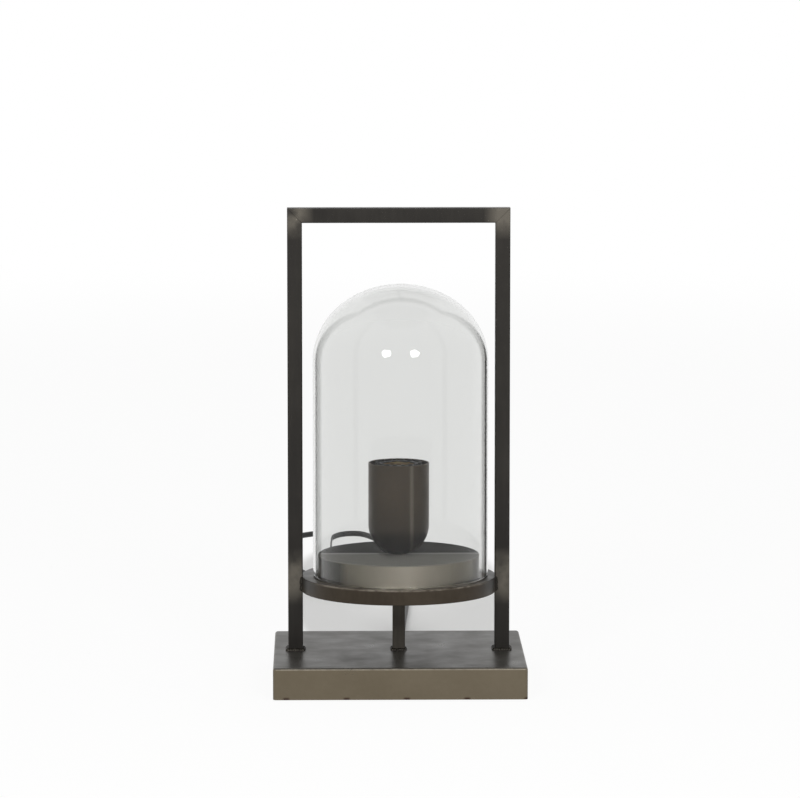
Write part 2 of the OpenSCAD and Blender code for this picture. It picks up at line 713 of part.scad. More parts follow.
module wire_sleeve() color("#d8d2c0") translate([0, 0, lead_z + wire_bend + 0.5])
    pipe(sleeve_d, sleeve_d - 2 * sleeve_wall, nipple_top - 1 - lead_z - wire_bend - 0.5);

// ---- switch on the lead ----

module at_switch() translate(switch_place) children();

module switch_outline(shrink) rounded_rect(switch_w - 2 * shrink, switch_l - 2 * shrink, switch_r - shrink);

module switch_cord_holes() along_y([0, -switch_l / 2 - cut, switch_split])
    cylinder(d = neck_d + 2 * slip_gap, h = switch_l + 2 * cut);

switch_screw_x = switch_w / 2 - switch_wall - 3.2;
switch_screw_y = switch_l / 2 - switch_wall - 7.5;
module at_switch_screws() for (s = [-1, 1]) translate([s * switch_screw_x, s * switch_screw_y, 0]) children();

module switch_base() color("#1a1a19") at_switch() difference() {
    union() {
        difference() {
            linear_extrude(switch_split) switch_outline(0);
            translate([0, 0, switch_wall]) linear_extrude(switch_split) switch_outline(switch_wall);
        }
        at_switch_screws() cylinder(d = 6.8, h = switch_split);
    }
    switch_cord_holes();
    at_switch_screws() {
        translate([0, 0, -cut]) cylinder(d = 2.8, h = switch_split + 2 * cut);
        translate([0, 0, -cut]) cylinder(d = 4.8, h = 2.4 + cut);
    }
}

module switch_cover() color("#1a1a19") at_switch() {
    difference() {
        union() {
            translate([0, 0, switch_split]) difference() {
                linear_extrude(switch_h - switch_split) switch_outline(0);
                translate([0, 0, -cut]) linear_extrude(switch_h - switch_split - switch_wall + cut)
                    switch_outline(switch_wall);
            }
            at_switch_screws() translate([0, 0, switch_split]) cylinder(d = 6.8, h = switch_h - switch_split - 1);
            rocker_lugs();
        }
        switch_cord_holes();
        at_switch_screws() translate([0, 0, switch_split - cut]) cylinder(d = 2.4 + 2 * thread_gap, h = 6 + cut);
        translate([0, 0, switch_h])
            cube([rocker_w + 0.6, rocker_window, 3 * switch_wall], center = true);
        translate([0, 0, rocker_pin_h]) rotate([0, 90, 0])
            cylinder(d = rocker_pin_d + 2 * thread_gap, h = rocker_w + 6, center = true, $fn = 48);
    }
}

// Ears under the top of the cover that carry the rocker's pin
module rocker_lugs() for (s = [-1, 1])
    translate([s * (rocker_w / 2 + 1.4), 0, (rocker_pin_h - 2.5 + switch_h - 1) / 2])
        cube([2, 8, switch_h - 1 - rocker_pin_h + 2.5], center = true);

module switch_rocker() color("#2a2a29") at_switch() translate([0, 0, rocker_pin_h])
    rotate([-rocker_tilt, 0, 0]) difference() {
        intersection() {
            rotate([0, 90, 0]) cylinder(r = rocker_r, h = rocker_w, center = true);
            rotate([90, 0, 90]) linear_extrude(rocker_w, center = true) rocker_side();
        }
        rotate([0, 90, 0])
            cylinder(d = rocker_pin_d + 2 * pivot_gap, h = rocker_w + 2 * cut, center = true, $fn = 48);
    }

module rocker_side() {
    crest = switch_h - rocker_pin_h + 0.3;
    rise = rocker_r * tan(rocker_tilt);
    polygon([
        [-rocker_r, -3.2], [rocker_r, -3.2], [rocker_r, crest + rise], [0, crest], [-rocker_r, crest + rise]
    ]);
}

module rocker_pin() color("#9a978f") at_switch() translate([0, 0, rocker_pin_h])
    rotate([0, 90, 0]) cylinder(d = rocker_pin_d, h = rocker_w + 4.8, center = true, $fn = 48);

module switch_screws() color("#8d8a84") at_switch() at_switch_screws() {
    translate([0, 0, 0.6]) cylinder(d = 4.4, h = 1.8);
    cylinder(d = 2.4, h = switch_split + 5);
}

contact = [4.5, 7, 3.4];
contact_x = 4;
contact_y = 15;
module switch_contacts() color("#b9975b") at_switch() {
    for (s = [-1, 1]) translate([contact_x, s * contact_y, switch_wall + contact.z / 2])
        cube(contact, center = true);
    leaf = 0.5;
    translate([contact_x - 1.5, -contact_y, switch_wall + contact.z]) cube([3, 2 * contact_y, leaf]);
}

function switch_wire_end(side, end) =
    [[side * wire_pitch / 2, end * (switch_l / 2 - switch_wall - flange_t), switch_split],
     [side * wire_pitch / 2, end * (switch_l / 2 - switch_wall - flange_t - 2), switch_split]];

module switch_wires() color("#6a4a35") at_switch() {
    low = switch_wall + wire_d / 2 + 0.2;
    near = switch_wire_end(-1, -1);
    far = switch_wire_end(-1, 1);
    swept_tube(concat(near, [[-2.2, -21, low + 2], [-3.6, -16, low], [-3.6, 16, low], [-2.2, 21, low + 2]],
        [far[1], far[0]]), wire_d / 2, 8);
    for (end = [-1, 1]) swept_tube(concat(switch_wire_end(1, end),
        [[contact_x - 0.7, end * (contact_y + contact.y / 2 + 3), low + 0.9],
         [contact_x, end * (contact_y + contact.y / 2 + 1.5), low],
         [contact_x, end * (contact_y + contact.y / 2), low]]), wire_d / 2, 8);
}

module switch_reliefs() color("#1a1a19") at_switch() for (end = [-1, 1])
    rotate([0, 0, end < 0 ? 180 : 0])
        along_y([0, switch_l / 2 - switch_wall - flange_t, switch_split]) {
            cylinder(d = flange_d - 1, h = flange_t);
            cylinder(d = neck_d, h = flange_t + switch_wall);
            translate([0, 0, flange_t + switch_wall]) relief_taper();
        }

// ---- free lead, coil and plug ----

module cord_lead() color("#1a1a19") swept_tube(lying(lead_route, lead_shift), cord_r, 8);
module cord_sweep() color("#1a1a19") swept_tube(lying(sweep_route, sweep_shift), cord_r, 8);
module cord_tail() color("#1a1a19") swept_tube(lying(tail_route, sweep_shift), cord_r, 8);
module cord_coil() color("#1a1a19") swept_tube(coil_route, cord_r, 6);

// A strap round the bundle of turns: a closed band whose width runs along X
module coil_strap() {
    inside = [coil_pitch + cord_d + 2 * strap_gap, coil_pitch + cord_d + 2 * strap_gap];
    translate([0, 0, strap_t + inside.y / 2]) rotate([90, 0, 90]) linear_extrude(strap_w, center = true)
        difference() {
            rounded_rect(inside.x + 2 * strap_t, inside.y + 2 * strap_t, 2);
            rounded_rect(inside.x, inside.y, 1.2);
        }
}

module coil_straps() color("#2b2b2a") {
    translate([coil_centre.x, coil_centre.y - coil_in_r - coil_pitch * (coil_turns - 1.5) / 2, 0]) coil_strap();
    translate([coil_centre.x, coil_centre.y + coil_in_r + coil_pitch / 2, 0]) coil_strap();
}

module plug_relief() color("#1a1a19") translate(plug_place) rotate([0, 0, 180])
    along_y([0, 0, 0]) relief_taper();

module plug_body() color("#1a1a19") translate(plug_place) difference() {
    linear_extrude(plug_t, center = true) {
        polygon([
            [-7, 0], [7, 0], [plug_w / 2, plug_l * 0.4], [plug_w / 2, plug_l - 2],
            [plug_w / 2 - 2, plug_l], [2 - plug_w / 2, plug_l], [-plug_w / 2, plug_l - 2],
            [-plug_w / 2, plug_l * 0.4]
        ]);
    }
    for (s = [-1, 1]) along_y([s * pin_pitch / 2, plug_l - 6, 0])
        cylinder(d = pin_d - 0.8 + 2 * thread_gap, h = 6 + cut, $fn = 48);
}

module plug_pins() color("#c9c6bd") translate(plug_place) for (s = [-1, 1])
    along_y([s * pin_pitch / 2, plug_l - 6, 0]) {
        cylinder(d = pin_d - 0.8, h = 6 + pin_sleeve_l, $fn = 48);
        translate([0, 0, 6 + pin_sleeve_l]) cylinder(d = pin_d, h = pin_l - pin_sleeve_l - 1, $fn = 48);
        translate([0, 0, 6 + pin_l - 1]) cylinder(d1 = pin_d, d2 = pin_d - 2, h = 1, $fn = 48);
    }

module pin_sleeves() color("#1a1a19") translate(plug_place) for (s = [-1, 1])
    along_y([s * pin_pitch / 2, plug_l, 0]) pipe(pin_d, pin_d - 0.8 + 2 * thread_gap, pin_sleeve_l);

base_shell();
base_pan();
base_pillars();
pan_screws();
felt_feet();
left_post();
right_post();
top_bar();
post_welds();
tray_stem();
stem_welds();
glass_tray();
tray_welds();
glass_drum();
tray_nut();
threaded_tube();
holder_cup();
cup_washer();
cup_nut();
holder_cap();
contact_block();
terminals();
terminal_screws();
centre_contact();
screw_shell();
holder_ring();
glass_dome();
cord_relief();
lead_sheath();
cord_tab();
cable_tie();
inner_wires();
wire_sleeve();
cord_lead();
switch_base();
switch_cover();
switch_rocker();
rocker_pin();
switch_screws();
switch_contacts();
switch_wires();
switch_reliefs();
cord_sweep();
cord_coil();
coil_straps();
cord_tail();
plug_relief();
plug_body();
plug_pins();
pin_sleeves();
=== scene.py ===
# %% [markdown]
# # Lantern table lamp: the looks
#
# The lamp's solids come from a CAD model and stay where they are. This notebook puts the camera and
# the light where the photographer had them, lays the mains lead, remodels the pieces whose edges and
# surfaces show, and gives every piece its finish. Lengths are in metres. The table is z = 0, the
# front of the lamp faces -Y, and the origin lies on the table under the middle of the base.

# %% Load the lamp
import json
from math import asin, cos, degrees, pi, radians, sin

import bpy
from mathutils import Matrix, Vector


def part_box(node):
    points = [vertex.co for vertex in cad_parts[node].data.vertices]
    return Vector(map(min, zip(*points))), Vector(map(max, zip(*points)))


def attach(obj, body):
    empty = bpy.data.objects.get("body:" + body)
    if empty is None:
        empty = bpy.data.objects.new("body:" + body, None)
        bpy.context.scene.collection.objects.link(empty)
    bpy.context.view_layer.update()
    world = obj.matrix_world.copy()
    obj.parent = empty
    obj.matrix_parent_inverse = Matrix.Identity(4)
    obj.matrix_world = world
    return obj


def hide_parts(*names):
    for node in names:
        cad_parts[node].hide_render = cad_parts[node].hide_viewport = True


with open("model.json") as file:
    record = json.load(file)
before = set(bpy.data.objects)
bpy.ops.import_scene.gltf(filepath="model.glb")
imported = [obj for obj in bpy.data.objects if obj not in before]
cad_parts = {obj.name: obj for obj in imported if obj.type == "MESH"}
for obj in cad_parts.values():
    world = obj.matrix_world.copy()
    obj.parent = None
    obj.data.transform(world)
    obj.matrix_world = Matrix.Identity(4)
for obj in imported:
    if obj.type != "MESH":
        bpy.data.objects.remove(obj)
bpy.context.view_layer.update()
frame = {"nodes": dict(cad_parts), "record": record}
nodes = frame["nodes"]
scene = bpy.context.scene
slot_of = {row["node"]: row["material_slot"] for row in frame["record"]["subparts"]}

# %% [markdown]
# ## The camera
#
# The photograph was taken from far away with a long lens: the posts stand parallel, and the top of
# the base shows as a thin band. Such a view is set by the point it aims at, the distance, and how far
# the camera looks down and to the side. These came from the corners of the base and the frame.

# %% Set up the camera
MM = 0.001
AIM = Vector((1.1, 0, 239.4)) * MM
DISTANCE = 3.693
LOOK_DOWN = radians(6.95)
LOOK_ASIDE = radians(0.98)
LENS, SENSOR = 198.5, 36  # focal length and width of the sensor, in millimetres

ahead = Vector((sin(LOOK_ASIDE) * cos(LOOK_DOWN), cos(LOOK_ASIDE) * cos(LOOK_DOWN), -sin(LOOK_DOWN)))
bpy.ops.object.camera_add(
    location=AIM - DISTANCE * ahead, rotation=(pi / 2 - LOOK_DOWN, 0, -LOOK_ASIDE)
)
camera = bpy.context.object
camera.name = "camera"
camera.data.lens = LENS
camera.data.sensor_width = SENSOR
camera.data.clip_end = 200
scene.camera = camera
scene.view_settings.view_transform = "Standard"
print("camera at", tuple(round(c, 3) for c in camera.location))

# %% [markdown]
# ## The mains lead
#
# A lead is a fixed length of something limp, so it is made as a curve with a round section: the
# curve is the line that its middle follows, its bevel is a round of radius 1, and the radius of each
# of its points brings that down to size. It leaves the back of the base, drops to the table and runs
# away from the camera to its switch. Behind the switch it swings round, and that bend is the dark arc
# seen through the glass. The spare length is wound into a coil, where the lamp hides it, and ends in
# its plug.

# %% Curves with a round section
LEAD_D = 5.6 * MM
LEAD_R = LEAD_D / 2


def round_cord(name, points, radius):
    """A curve that passes through the points, which are in millimetres, with a round section."""
    bpy.ops.object.select_all(action="DESELECT")
    bpy.ops.curve.primitive_bezier_curve_add()
    cord = bpy.context.object
    cord.name = name
    spline = cord.data.splines[0]
    spline.bezier_points.add(len(points) - 2)
    for knot, point in zip(spline.bezier_points, points):
        knot.co = knot.handle_left = knot.handle_right = Vector(point) * MM
        knot.radius = radius
    bpy.ops.object.mode_set(mode="EDIT")
    bpy.ops.curve.select_all(action="SELECT")
    bpy.ops.curve.handle_type_set(type="AUTOMATIC")
    bpy.ops.object.mode_set(mode="OBJECT")
    cord.data.dimensions = "3D"
    cord.data.resolution_u = 6
    cord.data.bevel_depth = 1
    cord.data.bevel_resolution = 5
    cord.data.use_fill_caps = True
    return cord


# %% The route from the lamp to the switch
EXIT_H, SWITCH_H = 7.2, 5.2  # height of the lead over its place on the table, at its two ends


def on_table(route):
    """Lays a route on the table: its heights are those of the underside of the lead."""
    return [(x, y, z + LEAD_R / MM) for x, y, z in route]


lead_route = [
    (0, 118, EXIT_H), (0, 125, EXIT_H), (0.3, 135, EXIT_H * 0.87), (0.8, 147, EXIT_H * 0.58),
    (1.6, 159, EXIT_H * 0.26), (2.7, 171, EXIT_H * 0.06), (4, 184, 0), (5.6, 210, 0),
    (7.3, 241, 0), (9.1, 283, 0), (10.9, 321, 0), (12.5, 359, 0), (13.2, 385, 0),
    (13.1, 410, 0), (12.7, 435, 0), (12.5, 455, 0), (12.5, 468, SWITCH_H * 0.13),
    (12.5, 482, SWITCH_H * 0.56), (12.5, 493, SWITCH_H * 0.9), (12.5, 500, SWITCH_H),
    (12.5, 506, SWITCH_H),
]
lead_cord = round_cord("lead_cord", on_table(lead_route), LEAD_R)
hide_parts("cord_lead")
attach(lead_cord, "stand")
print("lead to the switch:", len(lead_route), "points")

# %% The route from the switch to the plug, by way of the arc and the coil
COIL_CENTRE = (-32, 445)
COIL_OUT_R = 34.5   # outermost turn, at the middle of the lead
COIL_PITCH = 6.2    # from turn to turn and from layer to layer
COIL_TURNS = 3.5    # in all, half of them in each of two layers
COIL_LIFT = 1.1     # the straps lie under the lead
COIL_STEP = 15      # degrees between two points
CLIMB = 180         # degrees in which the lead climbs a layer

sweep_route = [
    (12.5, 624, SWITCH_H), (12.5, 630, SWITCH_H), (12.4, 638, SWITCH_H * 0.87),
    (12, 650, SWITCH_H * 0.44), (11.2, 663, SWITCH_H * 0.1), (10, 677, 0), (7.5, 697, 0),
    (3.6, 717.5, 0), (-1.6, 738, 0), (-8, 757, 0), (-15.5, 773.5, 0), (-22, 786.5, 0),
    (-27.6, 797, 0), (-32.9, 804, 0), (-40.4, 809, 0), (-49, 810.5, 0), (-59.4, 809, 0),
    (-69, 805, 0), (-77.8, 798.3, 0), (-86.5, 789.3, 0), (-90.2, 784.4, 0), (-92.6, 778.4, 0),
    (-93.5, 771.5, 0), (-93.7, 755, 0), (-93.4, 730, 0), (-92.8, 700, 0), (-92.2, 665, 0),
    (-91.6, 630, 0), (-91, 592, 0), (-89.7, 577, 0), (-86, 562, 0), (-80.7, 547, 0),
    (-75, 532, 0), (-70.1, 517, 0), (-67.4, 504, 0), (-66.5, 492, 0), (-66.5, 475, 0.6),
    (-66.5, 459, COIL_LIFT),
]


def coil_route():
    """The turns spiral in, climb a layer while the spiral reverses, and spiral out again."""
    half = 180 * COIL_TURNS
    inner = COIL_OUT_R - COIL_PITCH * COIL_TURNS / 2
    turned = []
    for a in range(0, round(2 * half) + 1, COIL_STEP):
        r = inner + COIL_PITCH * abs(a - half) / 360
        climb = min(1, max(0, (a - half) / CLIMB + 0.5))
        x = COIL_CENTRE[0] + r * cos(radians(a + 180))
        y = COIL_CENTRE[1] + r * sin(radians(a + 180))
        turned.append((x, y, COIL_LIFT + COIL_PITCH * climb))
    return turned


tail_route = [
    (2.5, 451, COIL_PITCH + COIL_LIFT), (2.5, 458, COIL_PITCH + COIL_LIFT), (1.4, 467, 5.8),
    (-2.1, 476.5, 3.8), (-7.3, 484.5, 2), (-14.2, 491, 1), (-21.2, 497.5, 0.9),
    (-26.4, 505, 1.7), (-29.9, 514, 3.2), (-31, 519, 4.05), (-31, 524, 4.05),
]
spare_route = sweep_route + [(-66.5, 451, COIL_LIFT)] + coil_route() + tail_route
spare_cord = round_cord("spare_cord", on_table(spare_route), LEAD_R)
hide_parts("cord_sweep", "cord_coil", "cord_tail")
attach(spare_cord, "stand")
print("switch to plug:", len(spare_route), "points")

# %% [markdown]
# ## Light, floor and backdrop
#
# Two bright spots on the glass show where the lamps were: beside the camera, a little above it. Two
# large soft lamps stand there, and an even white surround fills the rest. The photograph's backdrop
# is white, so the camera sees a nearly white floor, with the lamp's shadow on it. A patch behind the
# lamp is only lit, and gives the soft grey that shows between the tray and the base.

# %% Two soft lamps by the camera
LAMP_SIZE = 0.55
LAMP_FAR = 2.6
LAMP_UP = radians(22.5)
LAMP_POWER = 20
LAMP_AIM = Vector((0, 0, 0.2))    # the middle of the glass


def soft_lamp(name, aside):
    """A round lamp that looks at the middle of the glass from one side."""
    way = Vector((sin(aside) * cos(LAMP_UP), -cos(aside) * cos(LAMP_UP), sin(LAMP_UP)))
    bpy.ops.object.light_add(type="AREA", location=LAMP_AIM + LAMP_FAR * way)
    lamp = bpy.context.object
    lamp.name = name
    lamp.rotation_euler = (-way).to_track_quat("-Z", "Y").to_euler()
    lamp.data.shape = "DISK"
    lamp.data.size = LAMP_SIZE
    lamp.data.energy = LAMP_POWER


soft_lamp("lamp_left", radians(-20.4))
soft_lamp("lamp_right", radians(18.6))

# %% Node helpers
def new_material(name):
    """An empty material: its node tree, its output and a function that adds nodes to it."""
    material = bpy.data.materials.new(name)
    material.use_nodes = True
    tree = material.node_tree
    tree.nodes.clear()
    output = tree.nodes.new("ShaderNodeOutputMaterial")
    return material, tree, output


def feed(tree, socket, value):
    """Sets a socket to a number or a colour, or links the output of a node to it."""
    if isinstance(value, tuple):
        socket.default_value = (*value, 1)
    elif isinstance(value, (float, int)):
        socket.default_value = value
    else:
        tree.links.new(value, socket)


def combine(tree, operation, first, second):
    """One step of arithmetic with two values, each a number or the output of a node."""
    node = tree.nodes.new("ShaderNodeMath")
    node.operation = operation
    feed(tree, node.inputs[0], first)
    feed(tree, node.inputs[1], second)
    return node.outputs[0]


def product(tree, first, second):
    """Where both masks are."""
    return combine(tree, "MULTIPLY", first, second)


def either(tree, *masks):
    """The greater of several masks."""
    total = masks[0]
    for mask in masks[1:]:
        total = combine(tree, "MAXIMUM", total, mask)
    return total


def spread(tree, value, low, high, to_low=0, to_high=1, smooth=False):
    """Maps a range of a value onto another range, and clamps it there."""
    node = tree.nodes.new("ShaderNodeMapRange")
    if smooth:
        node.interpolation_type = "SMOOTHSTEP"
    node.inputs["From Min"].default_value = low
    node.inputs["From Max"].default_value = high
    node.inputs["To Min"].default_value = to_low
    node.inputs["To Max"].default_value = to_high
    tree.links.new(value, node.inputs["Value"])
    return node.outputs["Result"]


def camera_sees(tree):
    """1 for a ray from the camera, off a mirror or through glass, and 0 for one that only lights."""
    path = tree.nodes.new("ShaderNodeLightPath")
    rays = ("Is Camera Ray", "Is Glossy Ray", "Is Transmission Ray")
    return either(tree, *(path.outputs[ray] for ray in rays))


# %% White surround
SURROUND = 0.62  # strength with which the surround lights the lamp
world = bpy.data.worlds.new("surround")
scene.world = world
world.use_nodes = True
tree = world.node_tree
sky = tree.nodes["Background"]
sky.inputs["Color"].default_value = (1, 1, 1, 1)
tree.links.new(spread(tree, camera_sees(tree), 0, 1, SURROUND, 1), sky.inputs["Strength"])
print("surround: white to the camera, strength", SURROUND, "on the lamp")

# %% Pale floor
SHADE_CENTRE = (0.007, 0.45, 0)
SHADE_SIZE = (0.096, 0.28)    # half width and half depth of the part of the floor that is only lit
WHITE_SHARE = 0.92            # share of plain white that the camera sees on the rest of the floor
PART_END = (0.86, 1.14)       # its soft edge, in squares of those half sizes
WHITE_END = (36, 150)         # where the floor turns plain white, 6 to 12 half sizes out
FLOOR_R = 40

bpy.ops.object.select_all(action="DESELECT")
bpy.ops.mesh.primitive_circle_add(vertices=96, radius=FLOOR_R, fill_type="NGON")
floor = bpy.context.object
floor.name = "floor"
material, tree, output = new_material("pale_floor")
paper = tree.nodes.new("ShaderNodeBsdfDiffuse")
paper.inputs["Color"].default_value = (0.9, 0.9, 0.89, 1)
white = tree.nodes.new("ShaderNodeEmission")
place = tree.nodes.new("ShaderNodeTexCoord")
mapping = tree.nodes.new("ShaderNodeMapping")
mapping.vector_type = "TEXTURE"
mapping.inputs["Location"].default_value = SHADE_CENTRE
mapping.inputs["Scale"].default_value = (*SHADE_SIZE, 1)
tree.links.new(place.outputs["Object"], mapping.inputs["Vector"])


# The length of the squared place grows outwards in squares with round corners.
squares = tree.nodes.new("ShaderNodeVectorMath")
squares.operation = "MULTIPLY"
distance = tree.nodes.new("ShaderNodeVectorMath")
distance.operation = "LENGTH"
for socket in squares.inputs[:2]:
    tree.links.new(mapping.outputs["Vector"], socket)
tree.links.new(squares.outputs["Vector"], distance.inputs[0])
away = distance.outputs["Value"]

near = product(tree, spread(tree, away, *PART_END, 0, WHITE_SHARE, smooth=True), camera_sees(tree))
far = product(tree, spread(tree, away, *WHITE_END, smooth=True), camera_sees(tree))
lit = tree.nodes.new("ShaderNodeMixShader")
plain = tree.nodes.new("ShaderNodeMixShader")
tree.links.new(near, lit.inputs[0])
tree.links.new(paper.outputs[0], lit.inputs[1])
tree.links.new(white.outputs[0], lit.inputs[2])
tree.links.new(far, plain.inputs[0])
tree.links.new(lit.outputs[0], plain.inputs[1])
tree.links.new(white.outputs[0], plain.inputs[2])
tree.links.new(plain.outputs[0], output.inputs["Surface"])
floor.data.materials.append(material)
print("floor: only lit behind the lamp, near white round it")

# %% [markdown]
# ## Finishes
#
# The steel is not painted: it is blackened and waxed, so its colour drifts between a warm grey and
# near black, with fine streaks, small pits and lighter patches where welds were sanded. One helper
# makes all such steel from four layers of noise, each with its own scale, and the pieces differ in
# their two colours, their gloss and how strong the streaks are.
# Some patches are painted light: highlights, shade and a reflection, and not marks on the steel.

# %% Noise, blending, bumps and a material
def noise(tree, scale, detail=4, stretch=(1, 1, 1)):
    """Noise on the piece's own coordinates, stretched along an axis if asked."""
    place = tree.nodes.new("ShaderNodeTexCoord")
    mapping = tree.nodes.new("ShaderNodeMapping")
    mapping.inputs["Scale"].default_value = stretch
    texture = tree.nodes.new("ShaderNodeTexNoise")
    texture.inputs["Scale"].default_value = scale
    texture.inputs["Detail"].default_value = detail
    texture.inputs["Roughness"].default_value = 0.55
    tree.links.new(place.outputs["Object"], mapping.inputs["Vector"])
    tree.links.new(mapping.outputs["Vector"], texture.inputs["Vector"])
    return texture.outputs["Fac"]


def blend(tree, amount, first, second):
    """Mixes two colours, each a colour or the output of a node, by an amount."""
    node = tree.nodes.new("ShaderNodeMix")
    node.data_type = "RGBA"
    for socket, value in ((0, amount), (6, first), (7, second)):    # where RGBA has its inputs
        feed(tree, node.inputs[socket], value)
    return node.outputs[2]


def bump(tree, height, strength, distance):
    """Tilts the surface as if it rose with a value, by a distance in metres."""
    node = tree.nodes.new("ShaderNodeBump")
    node.inputs["Strength"].default_value = strength
    node.inputs["Distance"].default_value = distance
    tree.links.new(height, node.inputs["Height"])
    return node.outputs["Normal"]


def coated(name, colour, roughness, normal=None, metallic=0.0, specular=0.5, coat=0.0, tint=1.0):
    """Principled material. What varies over it is a function that makes its nodes, or a constant."""
    material, tree, output = new_material(name)
    shader = tree.nodes.new("ShaderNodeBsdfPrincipled")
    shader.inputs["Specular IOR Level"].default_value = specular
    shader.inputs["Coat Weight"].default_value = coat
    shader.inputs["Specular Tint"].default_value = (tint, tint, tint, 1)
    tree.links.new(shader.outputs[0], output.inputs["Surface"])
    parts = {"Base Color": colour, "Roughness": roughness, "Normal": normal, "Metallic": metallic}
    for socket, maker in parts.items():
        if maker is not None:
            feed(tree, shader.inputs[socket], maker(tree) if callable(maker) else maker)
    return material


# %% Masks: where on a piece a finish changes
X, Y, Z = 0, 1, 2
BEYOND = 1  # a place past every piece, in metres


def lying_along(tree, axis):
    """The place of a point along X, Y or Z, in metres."""
    place = tree.nodes.new("ShaderNodeTexCoord")
    split = tree.nodes.new("ShaderNodeSeparateXYZ")
    tree.links.new(place.outputs["Object"], split.inputs[0])
    return split.outputs[axis]


def band(tree, axis, low, high, soft):
    """1 between two places along an axis, and fading to 0 past them."""
    value = lying_along(tree, axis)
    return product(tree, spread(tree, value, low - soft, low + soft),
                   spread(tree, value, high - soft, high + soft, 1, 0))


def blotchy(tree, mask, scale):
    """Breaks the edge of a mask up with noise."""
    return product(tree, mask, spread(tree, noise(tree, scale, 4), 0.3, 0.58))


# %% Waxed steel
def waxed_steel(name, dark, light, gloss=0.4, streak=(1, 1, 1), metallic=0.6, cloud=14, patches=(),
                dull=None, tint=1.0):
    """Blackened steel: cloudy colour, fine streaks, patches that are a mask and a colour, a dull area."""
    def colour(tree):
        clouds = spread(tree, noise(tree, cloud, 4), 0.32, 0.7)
        streaks = spread(tree, noise(tree, 260, 3, streak), 0.3, 0.75)
        base = blend(tree, 0.3, blend(tree, clouds, dark, light), blend(tree, streaks, dark, light))
        for mask, shade in patches:
            base = blend(tree, mask(tree), base, shade)
        return base

    def rough(tree):
        polished = spread(tree, noise(tree, 35, 4), 0.3, 0.7, gloss - 0.06, gloss + 0.08)
        if dull is None:
            return polished
        return either(tree, polished, spread(tree, dull(tree), 0, 1, 0, 0.95))

    def shine(tree):
        return metallic if dull is None else spread(tree, dull(tree), 0, 1, metallic, 0)

    def normal(tree):
        return bump(tree, noise(tree, 320, 4, streak), 0.25, 0.00002)

    return coated(name, colour, rough, normal, shine, specular=0.25, tint=tint)


# %% Where the steel was sanded and marked, and where light and shade are painted on it
base_low, base_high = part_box("base_shell")
post_low, post_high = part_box("left_post")
tray_low, tray_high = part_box("glass_tray")
drum_low, drum_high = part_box("glass_drum")
cup_low, cup_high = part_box("holder_cup")
TUBE = post_high[0] - post_low[0]
MARK_PITCH, MARK_FIRST = 0.0497, -0.0053    # hanging marks along the lower edge of the base
MARK_IN, MARK_OUT = 0.0014, 0.0034          # half width of a mark where it is darkest, and of all of it


def sanded_frame(tree):
    """Lighter where the mitres and the joints with the tray were ground."""
    sides = either(tree, band(tree, X, -BEYOND, post_high[0] + 0.004, 0.006),
                   band(tree, X, -post_high[0] - 0.004, BEYOND, 0.006))
    corners = product(tree, sides, band(tree, Z, post_high[2] - 1.5 * TUBE, BEYOND, 0.008))
    joints = band(tree, Z, tray_low[2] - 0.004, tray_high[2] + 0.016, 0.008)
    return blotchy(tree, either(tree, corners, joints), 50)


def wear_and_highlight_on_edges(tree):
    """The rounded edges of the base, lighter: a painted highlight along them, with some rubbed wear."""
    upper = band(tree, Z, base_high[2] - 0.0018, base_high[2] - 0.0007, 0.0004)
    sides = either(tree, band(tree, X, -BEYOND, base_low[0] + 0.001, 0.0006),
                   band(tree, X, base_high[0] - 0.001, BEYOND, 0.0006))
    corners = product(tree, sides, band(tree, Y, -BEYOND, base_low[1] + 0.001, 0.0006))
    return blotchy(tree, either(tree, upper, corners), 200)


def painted_shade_on_base_top(tree):
    """Painted shade: the flat top of the base, inside its rounded edges, coloured darker and greyer than its
    front.
    """
    return band(tree, Z, base_high[2] - 0.0012, BEYOND, 0.0006)


def hanging_marks(tree):
    """Small rusty spots at even steps along the lower front edge."""
    shifted = combine(tree, "ADD", lying_along(tree, X), MARK_FIRST)
    from_a_mark = combine(tree, "PINGPONG", shifted, MARK_PITCH / 2)
    spots = spread(tree, from_a_mark, MARK_IN, MARK_OUT, 1, 0)
    return product(tree, spots, band(tree, Z, 0, base_low[2] + 0.0018, 0.0008))


def on_drum(tree):
    """The flat top of the drum."""
    return band(tree, Z, drum_high[2] - 0.0008, BEYOND, 0.0004)


def painted_dark_reflection_on_drum(tree):
    """Painted reflection: the far half of the drum's top is coloured dark, and the near half stays lighter.
    """
    return product(tree, band(tree, Y, 0.001, BEYOND, 0.0012), on_drum(tree))


def painted_bright_reflection_on_drum(tree):
    """Painted reflection: a bright line across the middle of the drum's top, where its lighter near half
    ends.
    """
    return product(tree, band(tree, Y, -0.006, 0.001, 0.0015), on_drum(tree))


def drum_wall(tree):
    """The upright wall of the drum."""
    return band(tree, Z, 0, drum_high[2] - 0.001, 0.0005)


def painted_shade_on_drum_left(tree):
    """Painted shade: the darker left end of the wall."""
    return product(tree, band(tree, X, -BEYOND, drum_low[0] + 0.022, 0.004), drum_wall(tree))


def painted_highlight_on_drum(tree):
    """Painted highlight: the brighter middle of the wall."""
    return product(tree, band(tree, X, -0.018, 0.028, 0.022), drum_wall(tree))


def painted_shade_on_cup_bottom(tree):
    """Painted shade: the round bottom of the cup, darker towards its foot."""
    return spread(tree, lying_along(tree, Z), cup_low[2], cup_low[2] + 0.05, 0.75, 0)


def painted_highlight_on_cup(tree):
    """Painted highlight: a narrow bright streak down the front of the cup, a little right of its middle."""
    return product(tree, band(tree, X, 0.0092, 0.0118, 0.0012), band(tree, Y, -BEYOND, 0, 0.001))


